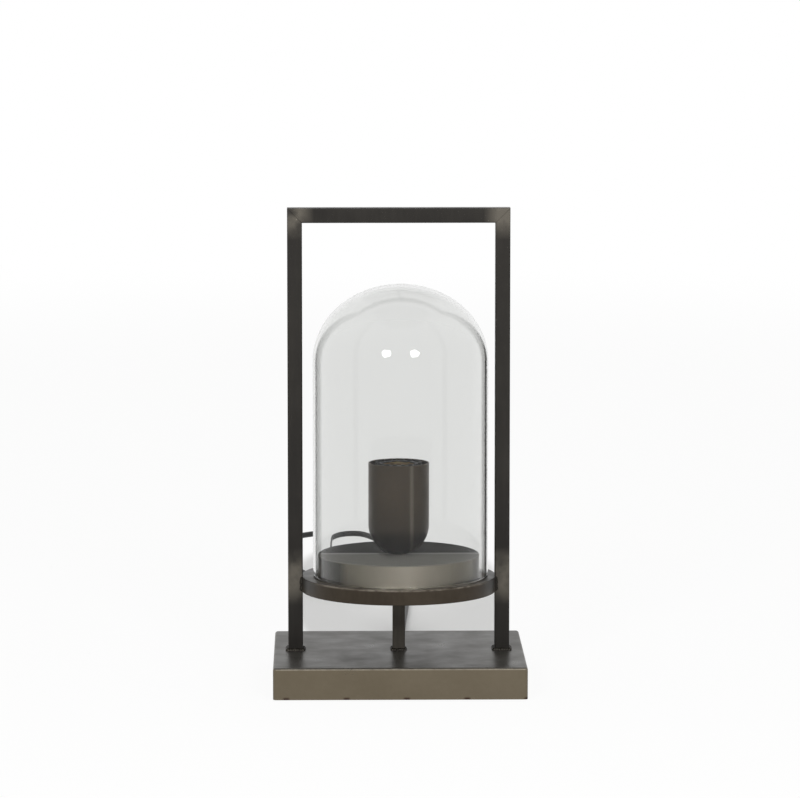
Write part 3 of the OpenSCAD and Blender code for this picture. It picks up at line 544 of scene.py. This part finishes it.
def painted_highlight_on_tray_edge(tree):
    """Painted highlight: the upper edge of the tray, made lighter towards the front."""
    edge = band(tree, Z, tray_high[2] - 0.0012, BEYOND, 0.0005)
    return blotchy(tree, product(tree, edge, band(tree, Y, -BEYOND, -0.04, 0.02)), 160)


def tray_ends(tree):
    """The tray is darker at both ends, next to the posts."""
    ends = either(tree, band(tree, X, -BEYOND, -0.072, 0.006), band(tree, X, 0.072, BEYOND, 0.006))
    return product(tree, ends, band(tree, Z, tray_low[2] + 0.003, BEYOND, 0.004))


finishes = {
    "base_steel": waxed_steel(
        "base_steel", (0.118, 0.097, 0.066), (0.14, 0.117, 0.083), 0.33, tint=0.65,
        # Painted highlight with some wear on the rounded edges of the base; the hanging marks are real
        # spots.
        # Painted shade on the flat top of the base.
        patches=((painted_shade_on_base_top, (0.08, 0.075, 0.067)), (wear_and_highlight_on_edges, (0.17, 0.15, 0.118)),
                 (hanging_marks, (0.04, 0.022, 0.015)))),
    "inner_steel": waxed_steel("inner_steel", (0.06, 0.055, 0.048), (0.1, 0.092, 0.08), 0.55),
    "frame_steel": waxed_steel(
        "frame_steel", (0.014, 0.0125, 0.011), (0.026, 0.0235, 0.02), 0.42, (1, 1, 0.1),
        metallic=0.5, patches=((sanded_frame, (0.1, 0.09, 0.074)),)),
    # Painted light: the stem's steel is a lighter copy of the frame steel, which lifts the stem out of the
    # shade under the tray.
    "lightened_stem_steel": waxed_steel(
        "lightened_stem_steel", (0.03, 0.026, 0.021), (0.075, 0.068, 0.056), 0.42, (1, 1, 0.1)),
    "weld_steel": waxed_steel(
        "weld_steel", (0.012, 0.0105, 0.0085), (0.034, 0.03, 0.024), 0.45, cloud=300),
    "tray_steel": waxed_steel(
        "tray_steel", (0.028, 0.021, 0.014), (0.052, 0.041, 0.029), 0.4, (1, 1, 0.4),
        # Painted highlight on the front of the tray's upper edge; the ends are darker next to the posts.
        patches=((painted_highlight_on_tray_edge, (0.16, 0.14, 0.115)), (tray_ends, (0.012, 0.011, 0.009)))),
    "drum_steel": waxed_steel(
        "drum_steel", (0.14, 0.126, 0.094), (0.2, 0.182, 0.142), 0.34, (1, 1, 0.15),
        metallic=0.75, dull=on_drum,
        # Painted light on the drum: a highlight in the middle of the wall, shade on its left end, and a
        # reflection on the top, a dark far half and a bright line.
        patches=((painted_highlight_on_drum, (0.36, 0.325, 0.27)), (painted_shade_on_drum_left, (0.035, 0.032, 0.024)),
                 (on_drum, (0.2, 0.193, 0.175)), (painted_dark_reflection_on_drum, (0.035, 0.034, 0.03)),
                 (painted_bright_reflection_on_drum, (0.3, 0.3, 0.28)))),
    "cup_steel": waxed_steel(
        "cup_steel", (0.045, 0.033, 0.021), (0.066, 0.05, 0.034), 0.36, (1, 1, 0.12), metallic=0.7,
        # Painted shade on the cup's round bottom and a painted highlight down its front.
        patches=((painted_shade_on_cup_bottom, (0.014, 0.011, 0.008)), (painted_highlight_on_cup, (0.13, 0.115, 0.092)))),
}
print("steel finishes:", len(finishes))

# %% Plastics, rubber, brass and the rest
def grained(name, colour, roughness, grain, depth, **more):
    """A moulded or cast surface: one colour with slight drift, and a fine grain."""
    def drift(tree):
        lighter = tuple(min(1, c * 1.35 + 0.002) for c in colour)
        return blend(tree, spread(tree, noise(tree, 60, 3), 0.3, 0.7), colour, lighter)

    return coated(name, drift, roughness, lambda tree: bump(tree, noise(tree, grain, 3), 0.3, depth), **more)


finishes.update({
    "holder_plastic": grained("holder_plastic", (0.006, 0.006, 0.0057), 0.5, 1400, 0.00008, specular=0.25),
    "black_plastic": grained("black_plastic", (0.012, 0.012, 0.012), 0.38, 2200, 0.00006),
    "rocker_plastic": grained("rocker_plastic", (0.02, 0.02, 0.02), 0.25, 1500, 0.00003),
    "black_rubber": grained("black_rubber", (0.012, 0.012, 0.0116), 0.5, 1800, 0.00005, specular=0.3),
    "nylon": grained("nylon", (0.016, 0.016, 0.016), 0.4, 900, 0.00005),
    "conductor_jacket": grained("conductor_jacket", (0.16, 0.06, 0.025), 0.4, 900, 0.00004),
    "glass_fibre": grained("glass_fibre", (0.55, 0.52, 0.44), 0.8, 2500, 0.0002),
    "ceramic": grained("ceramic", (0.72, 0.69, 0.62), 0.25, 700, 0.00003, coat=0.4),
    "felt": grained("felt", (0.022, 0.02, 0.018), 0.95, 2600, 0.0004, specular=0.15),
    "screw_steel": grained("screw_steel", (0.42, 0.41, 0.39), 0.32, 900, 0.00004, metallic=1.0),
    "brass": grained("brass", (0.12, 0.088, 0.045), 0.55, 800, 0.00004, metallic=1.0),
    "nickel_pins": grained("nickel_pins", (0.66, 0.64, 0.6), 0.2, 800, 0.00002, metallic=1.0),
})
print("finishes:", len(finishes))

# %% Clear glass
material, tree, output = new_material("clear_glass")
shader = tree.nodes.new("ShaderNodeBsdfPrincipled")
shader.inputs["Base Color"].default_value = (0.856, 0.86, 0.853, 1)
shader.inputs["Transmission Weight"].default_value = 1
shader.inputs["Roughness"].default_value = 0
shader.inputs["IOR"].default_value = 1.5
shader.inputs["Specular Tint"].default_value = (0.4, 0.4, 0.4, 1)
tree.links.new(shader.outputs[0], output.inputs["Surface"])
finishes["clear_glass"] = material
print("finishes with the glass:", len(finishes))

# %% [markdown]
# ## Tools for the pieces
#
# Most pieces of this lamp are either turned, such as the glass, the cup and the drum, or cut from bar
# and sheet. A turned piece is drawn as half its outline and spun round the upright axis. A bar is a
# box whose long edges are rounded, sawn off where two bars meet. No real edge is sharp, so a small
# bevel goes on last: it is what catches the light.

# %% Choose, spin and ease
SAME_POINT = 0.005 * MM    # points nearer than this are merged
FINE = 144                 # sides of the large round pieces


def choose(piece):
    """Makes a piece the only one that is selected."""
    bpy.ops.object.select_all(action="DESELECT")
    piece.select_set(True)
    bpy.context.view_layer.objects.active = piece


def first_point(name, place):
    """Starts a mesh with one point, ready to be extruded in Edit Mode."""
    bpy.ops.object.select_all(action="DESELECT")
    bpy.ops.mesh.primitive_plane_add(size=MM)
    piece = bpy.context.object
    piece.name = name
    bpy.ops.object.mode_set(mode="EDIT")
    bpy.ops.mesh.select_all(action="SELECT")
    bpy.ops.mesh.merge(type="CENTER")
    bpy.ops.transform.translate(value=place)
    return piece


def arc(centre, radius, start, end, steps):
    """Points of an arc, from one angle to another, in degrees above the level."""
    angles = [radians(start + (end - start) * i / steps) for i in range(steps + 1)]
    return [(centre[0] + radius * cos(a), centre[1] + radius * sin(a)) for a in angles]


def turned(name, outline, steps=96, closed=True):
    """Draws half an outline of (radius, height) points and spins it round the upright axis."""
    piece = first_point(name, (outline[0][0], 0, outline[0][1]))
    path = outline + outline[:1] if closed else outline
    for (r, z), (next_r, next_z) in zip(path, path[1:]):
        bpy.ops.mesh.extrude_region_move(TRANSFORM_OT_translate={"value": (next_r - r, 0, next_z - z)})
    bpy.ops.mesh.select_all(action="SELECT")
    bpy.ops.mesh.remove_doubles(threshold=SAME_POINT)
    bpy.ops.mesh.spin(steps=steps, angle=2 * pi, center=(0, 0, 0), axis=(0, 0, 1))
    bpy.ops.mesh.select_all(action="SELECT")
    bpy.ops.mesh.remove_doubles(threshold=SAME_POINT)
    bpy.ops.mesh.normals_make_consistent(inside=False)
    bpy.ops.object.mode_set(mode="OBJECT")
    return piece


def apply_modifier(piece, kind, **settings):
    """Adds a modifier with its settings and applies it."""
    choose(piece)
    modifier = piece.modifiers.new(kind.lower(), kind)
    for setting, value in settings.items():
        setattr(modifier, setting, value)
    bpy.ops.object.modifier_apply(modifier=modifier.name)


def ease(piece, width, segments=2, angle=35):
    """Rounds every edge that turns by more than an angle."""
    apply_modifier(piece, "BEVEL", width=width, segments=segments, limit_method="ANGLE",
                   angle_limit=radians(angle))


def ease_edges(piece, wanted, width, segments=4):
    """Rounds the edges whose two ends pass a test, with the bevel operator."""
    choose(piece)
    mesh = piece.data
    bpy.ops.object.mode_set(mode="EDIT")
    bpy.ops.mesh.select_mode(type="EDGE")
    bpy.ops.mesh.select_all(action="DESELECT")
    bpy.ops.object.mode_set(mode="OBJECT")
    for edge in mesh.edges:
        edge.select = wanted(*(mesh.vertices[i].co for i in edge.vertices))
    bpy.ops.object.mode_set(mode="EDIT")
    bpy.ops.mesh.bevel(offset=width, segments=segments)
    bpy.ops.mesh.select_mode(type="VERT")
    bpy.ops.object.mode_set(mode="OBJECT")


def ease_long_edges(piece, axis, width, segments=4):
    """Rounds the edges that run along an axis."""
    ease_edges(piece, lambda a, b: abs((b - a).normalized()[axis]) > 0.99, width, segments)


def ease_rim(piece, height, width):
    """Rounds the edges that lie at one height."""
    ease_edges(piece, lambda a, b: abs(a.z - height) + abs(b.z - height) < 0.01 * MM, width)


def settle(piece, slot, *stands_for, body="stand", finish=None, smooth=32):
    """Puts a piece's place in its mesh, smooths it, gives it its finish and its body, and hides the CAD
    nodes that it stands for.
    """
    choose(piece)
    bpy.ops.object.transform_apply(location=True, rotation=True, scale=True)
    bpy.ops.object.shade_smooth_by_angle(angle=radians(smooth))
    apply_modifier(piece, "WEIGHTED_NORMAL", keep_sharp=True)
    piece.data.materials.clear()
    piece.data.materials.append(finishes[finish or slot])
    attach(piece, body)
    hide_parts(*stands_for)
    print(f"{piece.name}: {len(piece.data.polygons)} faces")


# %% Boxes, saw cuts, holes and joins
def block(name, low, high):
    """A box between two corners."""
    low, high = Vector(low), Vector(high)
    bpy.ops.object.select_all(action="DESELECT")
    bpy.ops.mesh.primitive_cube_add(size=1, location=(low + high) / 2, scale=high - low)
    piece = bpy.context.object
    piece.name = name
    bpy.ops.object.transform_apply(location=True, rotation=True, scale=True)
    return piece


def cut_off(piece, place, way, fill=True):
    """Saws a piece through at a place and drops what lies on the side that way points to."""
    choose(piece)
    bpy.ops.object.mode_set(mode="EDIT")
    bpy.ops.mesh.select_all(action="SELECT")
    bpy.ops.mesh.bisect(plane_co=place, plane_no=way, use_fill=fill, clear_outer=True)
    bpy.ops.object.mode_set(mode="OBJECT")


def joined(name, pieces):
    """Makes several meshes one object."""
    choose(pieces[0])
    for piece in pieces:
        piece.select_set(True)
    bpy.ops.object.join()
    pieces[0].name = name
    return pieces[0]


def round_bar(place, radius, length, turn=(0, 0, 0), sides=48):
    """A plain round bar, the tool that a hole is cut with."""
    bpy.ops.object.select_all(action="DESELECT")
    bpy.ops.mesh.primitive_cylinder_add(
        vertices=sides, radius=radius, depth=length, location=place, rotation=turn
    )
    return bpy.context.object


def cut_with(piece, tool):
    """Takes the shape of a tool out of a piece, and removes the tool."""
    apply_modifier(piece, "BOOLEAN", object=tool, solver="EXACT")
    bpy.data.objects.remove(tool)


# %% [markdown]
# ## The glass dome
#
# It is a straight glass tube closed by a dome. Seen from the side, the dome is not half a circle but
# half an ellipse, a little lower than it is wide. The wall has to be a real wall with an inside and an
# outside, because what bends the view at the edges is the light's way through both. So the outline
# runs down the outside, round the fire-polished lip, and up the inside.

# %% Spin the glass
glass_low, glass_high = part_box("glass_dome")
GLASS_R = (glass_high[0] - glass_low[0]) / 2
GLASS_X = (glass_high[0] + glass_low[0]) / 2
GLASS_WALL = 2.5 * MM
DOME_H = 64 * MM
DOME_STEPS = 36
LIP_STEPS = 8


def dome_side(inset):
    """The side of the dome, from its top down, an inset inside the outer face."""
    turns = [pi / 2 * (1 - i / DOME_STEPS) for i in range(DOME_STEPS + 1)]
    return [((GLASS_R - inset) * cos(a), glass_high[2] - DOME_H + (DOME_H - inset) * sin(a)) for a in turns]


lip_middle = (GLASS_R - GLASS_WALL / 2, glass_low[2] + GLASS_WALL / 2)
lip = arc(lip_middle, GLASS_WALL / 2, 0, -180, LIP_STEPS)
dome = turned("clear_dome", dome_side(0) + lip + dome_side(GLASS_WALL)[::-1], FINE, closed=False)
dome.location.x = GLASS_X
settle(dome, "clear_glass", "glass_dome", body="glass", smooth=60)

# %% [markdown]
# ## Cup, drum and tray
#
# All three are sheet steel, so their outlines go round the thickness of the sheet. The cup is a
# bullet: half a ball with a small flat under it, and straight sides. The drum and the tray are shallow
# pans turned upside down. Only the rims are eased: a steel edge stays crisp after waxing.

# %% Spin the bullet cup
CUP_SHEET = 1.2 * MM
CUP_FLAT = 1 * MM       # how much of the ball is cut off by the flat under the cup
CUP_R = cup_high[0]
CUP_CENTRE = cup_low[2] + CUP_R - CUP_FLAT
TUBE_HOLE_R = 5.1 * MM  # for the threaded tube, in the cup and in the drum


def cup_side(radius, floor):
    """Half the outline of the cup, from the hole in its floor to its rim."""
    start = -degrees(asin((CUP_CENTRE - floor) / radius))
    return [(TUBE_HOLE_R, floor)] + arc((0, CUP_CENTRE), radius, start, 0, 20) + [(radius, cup_high[2])]


cup_inside = cup_side(CUP_R - CUP_SHEET, cup_low[2] + CUP_SHEET)
cup = turned("bullet_cup", cup_side(CUP_R, cup_low[2]) + cup_inside[::-1])
ease(cup, 0.4 * MM, 3, 60)
settle(cup, "cup_steel", "holder_cup")


# %% Spin the drum and the tray
DRUM_SHEET = TRAY_SHEET = 1.5 * MM
TRAY_RIM = 2 * MM
WIRE_HOLE_R = 3.6 * MM    # for the wires, in the tray and in the base
TRAY_R = tray_high[1]


def pan_outline(radius, low, high, wall, top, hole):
    """A pan upside down: a top sheet with a hole, and a rim."""
    return [(hole, high), (radius, high), (radius, low), (radius - wall, low),
            (radius - wall, high - top), (hole, high - top)]


drum_outline = pan_outline(drum_high[0], drum_low[2], drum_high[2], DRUM_SHEET, DRUM_SHEET, TUBE_HOLE_R)
drum = turned("drum", drum_outline, FINE)
ease(drum, 0.7 * MM, 3)
settle(drum, "drum_steel", "glass_drum")
tray_outline = pan_outline(TRAY_R, tray_low[2], tray_high[2], TRAY_RIM, TRAY_SHEET, WIRE_HOLE_R)
tray = turned("tray", tray_outline, FINE)
ease(tray, 0.6 * MM, 3)
settle(tray, "tray_steel", "glass_tray")

# %% [markdown]
# ## Lampholder
#
# Two pieces of the lampholder show: the black ring with its castellated rim, and the brass shell that
# the bulb screws into. The ring is spun, and one row of round bars cuts all its notches in one go. A
# screw thread is a helix, so the shell is not spun: the Screw modifier turns one wave of the thread
# round the axis while it climbs by one pitch a turn.

# %% Castellated ring
ring_low, ring_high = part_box("holder_ring")
shell_low, shell_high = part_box("screw_shell")
RING_R = ring_high[0]
NOTCHES, NOTCH_R, NOTCH_DEPTH = 18, 2.2 * MM, 1.5 * MM
CROWN_T, CROWN_H = 2.5 * MM, 1.2 * MM    # the standing rim that the notches are cut in
MOUTH_R, BORE_R, SKIRT_R = 13.6 * MM, 14.1 * MM, 17 * MM
LIP_Z = shell_high[2]
ring = turned("castellated_ring", [
    (SKIRT_R, ring_low[2]), (RING_R, ring_low[2]), (RING_R, ring_high[2]),
    (RING_R - CROWN_T, ring_high[2]), (RING_R - CROWN_T, ring_high[2] - CROWN_H),
    (MOUTH_R, ring_high[2] - CROWN_H), (MOUTH_R, LIP_Z), (BORE_R, LIP_Z),
    (BORE_R, shell_low[2]), (SKIRT_R, shell_low[2]),
], 6 * NOTCHES)
notches = []
for i in range(NOTCHES):
    angle = 2 * pi * i / NOTCHES
    place = (RING_R * sin(angle), -RING_R * cos(angle), ring_high[2] + NOTCH_R - NOTCH_DEPTH)
    notches.append(round_bar(place, NOTCH_R, 7 * MM, (pi / 2, 0, angle), 24))
cut_with(ring, joined("notches", notches))
ease(ring, 0.25 * MM, 2, 50)
settle(ring, "holder_plastic", "holder_ring")

# %% Brass screw shell
PITCH = 3.62 * MM
THREAD_DEPTH = BRASS_WALL = 0.35 * MM
WAVE = 8        # parts that one wave of the thread is drawn in
TURNS = 7       # a little more than the shell is long, so that both ends can be sawn level
ROUND = 64      # sides of the shell
shell = first_point("brass_shell", (shell_high[0], 0, shell_low[2] - PITCH))
for i in range(WAVE):
    rise = THREAD_DEPTH * (cos(2 * pi * (i + 1) / WAVE) - cos(2 * pi * i / WAVE)) / 2
    bpy.ops.mesh.extrude_region_move(TRANSFORM_OT_translate={"value": (rise, 0, PITCH / WAVE)})
bpy.ops.object.mode_set(mode="OBJECT")
apply_modifier(shell, "SCREW", axis="Z", angle=2 * pi, screw_offset=PITCH, iterations=TURNS, steps=ROUND,
               render_steps=ROUND, use_merge_vertices=True, merge_threshold=0.00001)
cut_off(shell, (0, 0, shell_high[2]), (0, 0, 1), fill=False)
cut_off(shell, (0, 0, shell_low[2]), (0, 0, -1), fill=False)
apply_modifier(shell, "SOLIDIFY", thickness=BRASS_WALL, offset=-1)
settle(shell, "brass", "screw_shell", smooth=70)

# %% [markdown]
# ## Frame and stem
#
# The frame is square tube with softly rounded corners, mitred at the top and welded flush. Each bar
# is a box: its long edges are rounded first, and the slanted saw cut comes after, so that the rounding
# runs cleanly into the mitre.

# %% Posts, top bar and stem
TUBE_ROUND = 1.1 * MM
MITRE = 0.15 * MM
corner_out = Vector((post_low[0], 0, post_high[2]))


def square_tube(name, node, mitres=(), along=Z, finish=None):
    """A bar in the place of a node, along an axis, sawn off where a mitre says."""
    bar = block(name, *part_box(node))
    ease_long_edges(bar, along, TUBE_ROUND)
    for side, way in mitres:
        cut_off(bar, (side * corner_out.x, 0, corner_out.z), way)
    if mitres:
        ease(bar, MITRE, 1, 50)
    settle(bar, "frame_steel", node, finish=finish)


square_tube("post_on_the_left", "left_post", [(1, (1, 0, 1))])
square_tube("post_on_the_right", "right_post", [(-1, (-1, 0, 1))])
square_tube("bar_on_top", "top_bar", [(1, (-1, 0, -1)), (-1, (1, 0, -1))], along=X)
square_tube("stem", "tray_stem", finish="lightened_stem_steel")


# %% Weld beads, drop by drop
BEAD_R, FOOT_BEAD_R, BEAD_STEP = 1.9 * MM, 2.4 * MM, 2.1 * MM
DROPS_AT_THE_TRAY, TRAY_DROP_STEP = 6, 1.75 * MM
BASE_TOP, TRAY_INSIDE = base_high[2], tray_high[2] - TRAY_SHEET


def round_square(centre, side, height):
    """Places at even steps along the edge of a square."""
    count = round(side / BEAD_STEP)
    places = []
    for i in range(count):
        along = side * (i / count - 0.5)
        for x, y in ((along, -side / 2), (side / 2, along), (-along, side / 2), (-side / 2, -along)):
            places.append((centre + x, y, height))
    return places


def bead(name, places, radius):
    """A weld bead: overlapping drops in a row, as the torch leaves them."""
    drops = []
    for i, place in enumerate(places):
        size = radius * (1 - 0.12 * (i % 3))
        bpy.ops.object.select_all(action="DESELECT")
        bpy.ops.mesh.primitive_uv_sphere_add(segments=12, ring_count=8, radius=size, location=place)
        drops.append(bpy.context.object)
    return joined(name, drops)


stem_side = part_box("tray_stem")[1][0] * 2
post_middle = post_high[0] - TUBE / 2
feet = [place for side in (-1, 1) for place in round_square(side * post_middle, TUBE, BASE_TOP)]
feet_beads = bead("beads_at_the_posts", feet, FOOT_BEAD_R)
cut_off(feet_beads, (0, 0, BASE_TOP), (0, 0, -1))
settle(feet_beads, "weld_steel", "post_welds")
low_ring = bead("beads_at_the_stem", round_square(0, stem_side, BASE_TOP), BEAD_R)
cut_off(low_ring, (0, 0, BASE_TOP), (0, 0, -1))
high_ring = bead("beads_over_the_stem", round_square(0, stem_side, TRAY_INSIDE), BEAD_R)
cut_off(high_ring, (0, 0, TRAY_INSIDE), (0, 0, 1))
settle(joined("beads_at_the_stem", [low_ring, high_ring]), "weld_steel", "stem_welds")

edge_x = (TRAY_R ** 2 - TUBE ** 2 / 4) ** 0.5
rows = [(x * edge_x, y * TUBE / 2, tray_low[2] + BEAD_R + i * TRAY_DROP_STEP)
        for x in (-1, 1) for y in (-1, 1) for i in range(DROPS_AT_THE_TRAY)]
settle(bead("beads_at_the_tray", rows, BEAD_R), "weld_steel", "tray_welds")

# %% [markdown]
# ## Base
#
# The base is one sheet folded into a box and open below. A real fold has a small radius, and the
# upright corners were welded and ground to a larger one. So the upright edges of a box are bevelled,
# then the edges of its top, then the floor is deleted and the rest gets the thickness of the sheet.

# %% Fold the base
BASE_SHEET, BASE_CORNER, BASE_FOLD = 1.5 * MM, 3 * MM, 2 * MM
EXIT_R = 4.5 * MM     # hole in a wall, for the neck of a sleeve
LEAD_Z = 10 * MM      # height of its middle
base = block("folded_base", base_low, base_high)
ease_long_edges(base, Z, BASE_CORNER)
ease_rim(base, BASE_TOP, BASE_FOLD)
mesh = base.data
bpy.ops.object.mode_set(mode="EDIT")
bpy.ops.mesh.select_mode(type="FACE")
bpy.ops.mesh.select_all(action="DESELECT")
bpy.ops.object.mode_set(mode="OBJECT")
for face in mesh.polygons:
    face.select = face.normal.z < -0.9
bpy.ops.object.mode_set(mode="EDIT")
bpy.ops.mesh.delete(type="FACE")
bpy.ops.mesh.select_mode(type="VERT")
bpy.ops.object.mode_set(mode="OBJECT")
apply_modifier(base, "SOLIDIFY", thickness=BASE_SHEET, offset=-1)
cut_with(base, round_bar((0, base_high[1], LEAD_Z), EXIT_R, 10 * MM, (pi / 2, 0, 0)))
cut_with(base, round_bar((0, 0, BASE_TOP), WIRE_HOLE_R, 10 * MM))
settle(base, "base_steel", "base_shell")

# %% [markdown]
# ## Strain reliefs and plug
#
# Where the lead leaves a housing, a moulded rubber sleeve keeps it from kinking: it tapers and has
# ribs, so that it bends more and more easily towards its tip. One function spins it for the base, both
# ends of the switch and the plug. The plug is moulded in one piece, so its body is extruded section
# by section from the end where the lead goes in, and rounded all over.

# %% Ribbed sleeves
RIBS, SLEEVE_L = 5, 26 * MM
SLEEVE_R, TIP_R = 4.8 * MM, 3.6 * MM
SLEEVE_BORE = LEAD_R + 0.05 * MM
RIB_SHARE = 0.6                         # of the step from rib to rib
GROOVE, GROOVE_END = 0.8 * MM, 0.85 * MM
FLANGE_R, NECK_R, FLANGE_T = 6 * MM, 4.4 * MM, 2 * MM


def sleeve(name, place, away, collar=()):
    """A ribbed sleeve along Y, away (1) from the camera or towards it (-1), after its collar."""
    start = collar[-1][1] if collar else 0
    outline = [(SLEEVE_BORE, 0)] + list(collar)
    for i in range(RIBS):
        rib = SLEEVE_R + (TIP_R - SLEEVE_R) * i / RIBS
        foot = start + SLEEVE_L * i / RIBS
        rib_end = foot + RIB_SHARE * SLEEVE_L / RIBS
        outline += [(rib, foot), (rib, rib_end)]
        outline += [(rib - GROOVE, rib_end), (rib - GROOVE_END, foot + SLEEVE_L / RIBS)]
    outline += [(SLEEVE_BORE, start + SLEEVE_L)]
    piece = turned(name, outline, 48)
    ease(piece, 0.22 * MM, 2, 50)
    piece.rotation_euler.x = -away * pi / 2
    piece.location = place
    return piece


out_of_the_wall = FLANGE_T + BASE_SHEET
through_the_base = [(FLANGE_R, 0), (FLANGE_R, FLANGE_T), (NECK_R, FLANGE_T), (NECK_R, out_of_the_wall),
                    (FLANGE_R, out_of_the_wall), (FLANGE_R, out_of_the_wall + FLANGE_T)]
settle(sleeve("sleeve_at_the_base", (0, base_high[1] - out_of_the_wall, LEAD_Z), 1, through_the_base),
       "black_rubber", "cord_relief")
switch_low, switch_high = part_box("switch_base")
switch_x = (switch_low[0] + switch_high[0]) / 2
split = switch_high[2]
SHELL_WALL = 1.8 * MM
IN_THE_SWITCH_R = 5.5 * MM
into_the_switch = FLANGE_T + SHELL_WALL
inside = [(IN_THE_SWITCH_R, 0), (IN_THE_SWITCH_R, FLANGE_T), (NECK_R, FLANGE_T), (NECK_R, into_the_switch)]
settle(sleeve("near_sleeve", (switch_x, switch_low[1] + into_the_switch, split), -1, inside),
       "black_rubber", "switch_reliefs")
settle(sleeve("far_sleeve", (switch_x, switch_high[1] - into_the_switch, split), 1, inside),
       "black_rubber", "switch_reliefs")
plug_low, plug_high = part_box("plug_body")
plug_middle = (Vector(plug_low) + Vector(plug_high)) / 2
settle(sleeve("sleeve_at_the_plug", (plug_middle.x, plug_low[1], plug_middle.z), -1),
       "black_rubber", "plug_relief")

# %% Shells of the switch
SWITCH_CORNER, SOFT_EDGE = 7 * MM, 1.5 * MM
ROCKER_W, ROCKER_R, ROCKER_AXIS = 14 * MM, 11.5 * MM, 12.2 * MM
ROCKER_TILT = radians(7)
WINDOW = Vector((ROCKER_W / 2 + 0.3 * MM, ROCKER_R + 0.2 * MM, 3 * MM))
switch_y = (switch_low[1] + switch_high[1]) / 2


def housing(name, node, closed, way):
    """Half of the housing: closed is the height of its closed face, way is +1 where that is its top."""
    low, high = (Vector(corner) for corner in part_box(node))
    piece = block(name, low, high)
    ease_long_edges(piece, Z, SWITCH_CORNER, 8)
    ease_rim(piece, closed, SOFT_EDGE)
    inward = Vector((SHELL_WALL, SHELL_WALL, 0))
    down = Vector((0, 0, way * SHELL_WALL))
    hollow = block("hollow", low + inward - down, high - inward - down)
    ease_long_edges(hollow, Z, SWITCH_CORNER - SHELL_WALL, 8)
    cut_with(piece, hollow)
    cut_with(piece, round_bar((switch_x, switch_y, split), EXIT_R, 70 * MM, (pi / 2, 0, 0)))
    return piece


switch_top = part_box("switch_cover")[1][2]
lower = housing("switch_lower_half", "switch_base", switch_low[2], -1)
settle(lower, "black_plastic", "switch_base")
upper = housing("switch_upper_half", "switch_cover", switch_top, 1)
middle_top = Vector((switch_x, switch_y, switch_top))
cut_with(upper, block("window", middle_top - WINDOW, middle_top + WINDOW))
settle(upper, "black_plastic", "switch_cover")

# %% Rocker
# A round bar is sawn flat below and along two slopes that meet over its middle, and then tilted.
RIDGE_PROUD = 0.3 * MM      # how far the slopes meet above the housing
ROCKER_DEPTH = 3.2 * MM     # from the pivot down
REACH = 20 * MM             # the tools that saw the slopes are larger than the rocker
pivot = Vector((switch_x, switch_y, ROCKER_AXIS))
crest = Vector((switch_x, switch_y, switch_top + RIDGE_PROUD))
rocker = round_bar(pivot, ROCKER_R, ROCKER_W, (0, pi / 2, 0), 128)
rocker.name = "rocker"
bpy.ops.object.transform_apply(location=True, rotation=True, scale=True)
cut_off(rocker, pivot - Vector((0, 0, ROCKER_DEPTH)), (0, 0, -1))
for side in (-1, 1):
    over = block("over", (-ROCKER_W, min(0, side * REACH), 0), (ROCKER_W, max(0, side * REACH), REACH / 2))
    over.rotation_euler.x = side * ROCKER_TILT
    over.location = crest
    cut_with(rocker, over)
ease(rocker, 0.5 * MM, 3, 30)
choose(rocker)
bpy.ops.object.mode_set(mode="EDIT")
bpy.ops.mesh.select_all(action="SELECT")
bpy.ops.transform.rotate(value=ROCKER_TILT, orient_axis="X", center_override=pivot)
bpy.ops.object.mode_set(mode="OBJECT")
settle(rocker, slot_of["switch_rocker"], "switch_rocker", body="rocker", finish="rocker_plastic")

# %% Extrude the plug body
width = 14    # of the end where the lead goes in, in millimetres
PLUG_SECTIONS = ((12.8, 35.3), (17.2, 35.3), (2, 31.3))    # each one's length and its width at its end
bpy.ops.object.select_all(action="DESELECT")
bpy.ops.mesh.primitive_plane_add(
    size=1, location=(plug_middle.x, plug_low[1], plug_middle.z), rotation=(pi / 2, 0, 0)
)
plug = bpy.context.object
plug.name = "plug_shell"
plug.scale = (width * MM, plug_high[2] - plug_low[2], 1)
bpy.ops.object.transform_apply(location=True, rotation=True, scale=True)
bpy.ops.object.mode_set(mode="EDIT")
bpy.ops.mesh.select_all(action="SELECT")
for length, next_width in PLUG_SECTIONS:
    bpy.ops.mesh.extrude_region_move(TRANSFORM_OT_translate={"value": (0, length * MM, 0)})
    bpy.ops.transform.resize(value=(next_width / width, 1, 1), center_override=plug_middle)
    width = next_width
bpy.ops.mesh.select_all(action="SELECT")
bpy.ops.mesh.normals_make_consistent(inside=False)
bpy.ops.object.mode_set(mode="OBJECT")
ease(plug, 1.8 * MM, 4, 15)
settle(plug, "black_plastic", "plug_body")


# %% Round the edges of small CAD pieces
# These keep their CAD mesh. Three modifiers join its triangles, dissolve each flat area into one face
# and bevel the edges that are left, by a width in millimetres.
small_edges = {"base_pan": 0.4, "felt_feet": 0.4, "pan_screws": 0.2, "coil_straps": 0.3, "tray_nut": 0.4}
for name, width in small_edges.items():
    modifiers = nodes[name].modifiers
    modifiers.new("weld", "WELD").merge_threshold = SAME_POINT
    flatten = modifiers.new("flatten", "DECIMATE")
    flatten.decimate_type = "DISSOLVE"
    flatten.angle_limit = radians(1)
    edge_bevel = modifiers.new("round", "BEVEL")
    edge_bevel.width, edge_bevel.segments = width * MM, 2
    edge_bevel.limit_method, edge_bevel.angle_limit = "ANGLE", radians(40)
print("small pieces with rounded edges:", len(small_edges))

# %% Give every CAD piece its finish
for name, piece in nodes.items():
    for slot in piece.material_slots:
        slot.material = finishes[slot_of[name]]
for cord in (lead_cord, spare_cord):
    cord.data.materials.append(finishes["black_rubber"])
print("pieces with a finish:", len(slot_of))

# %% [markdown]
# ## Last step
#
# The view layer is updated, so that every piece stands where it was put.

# %% Update the view layer
bpy.context.view_layer.update()
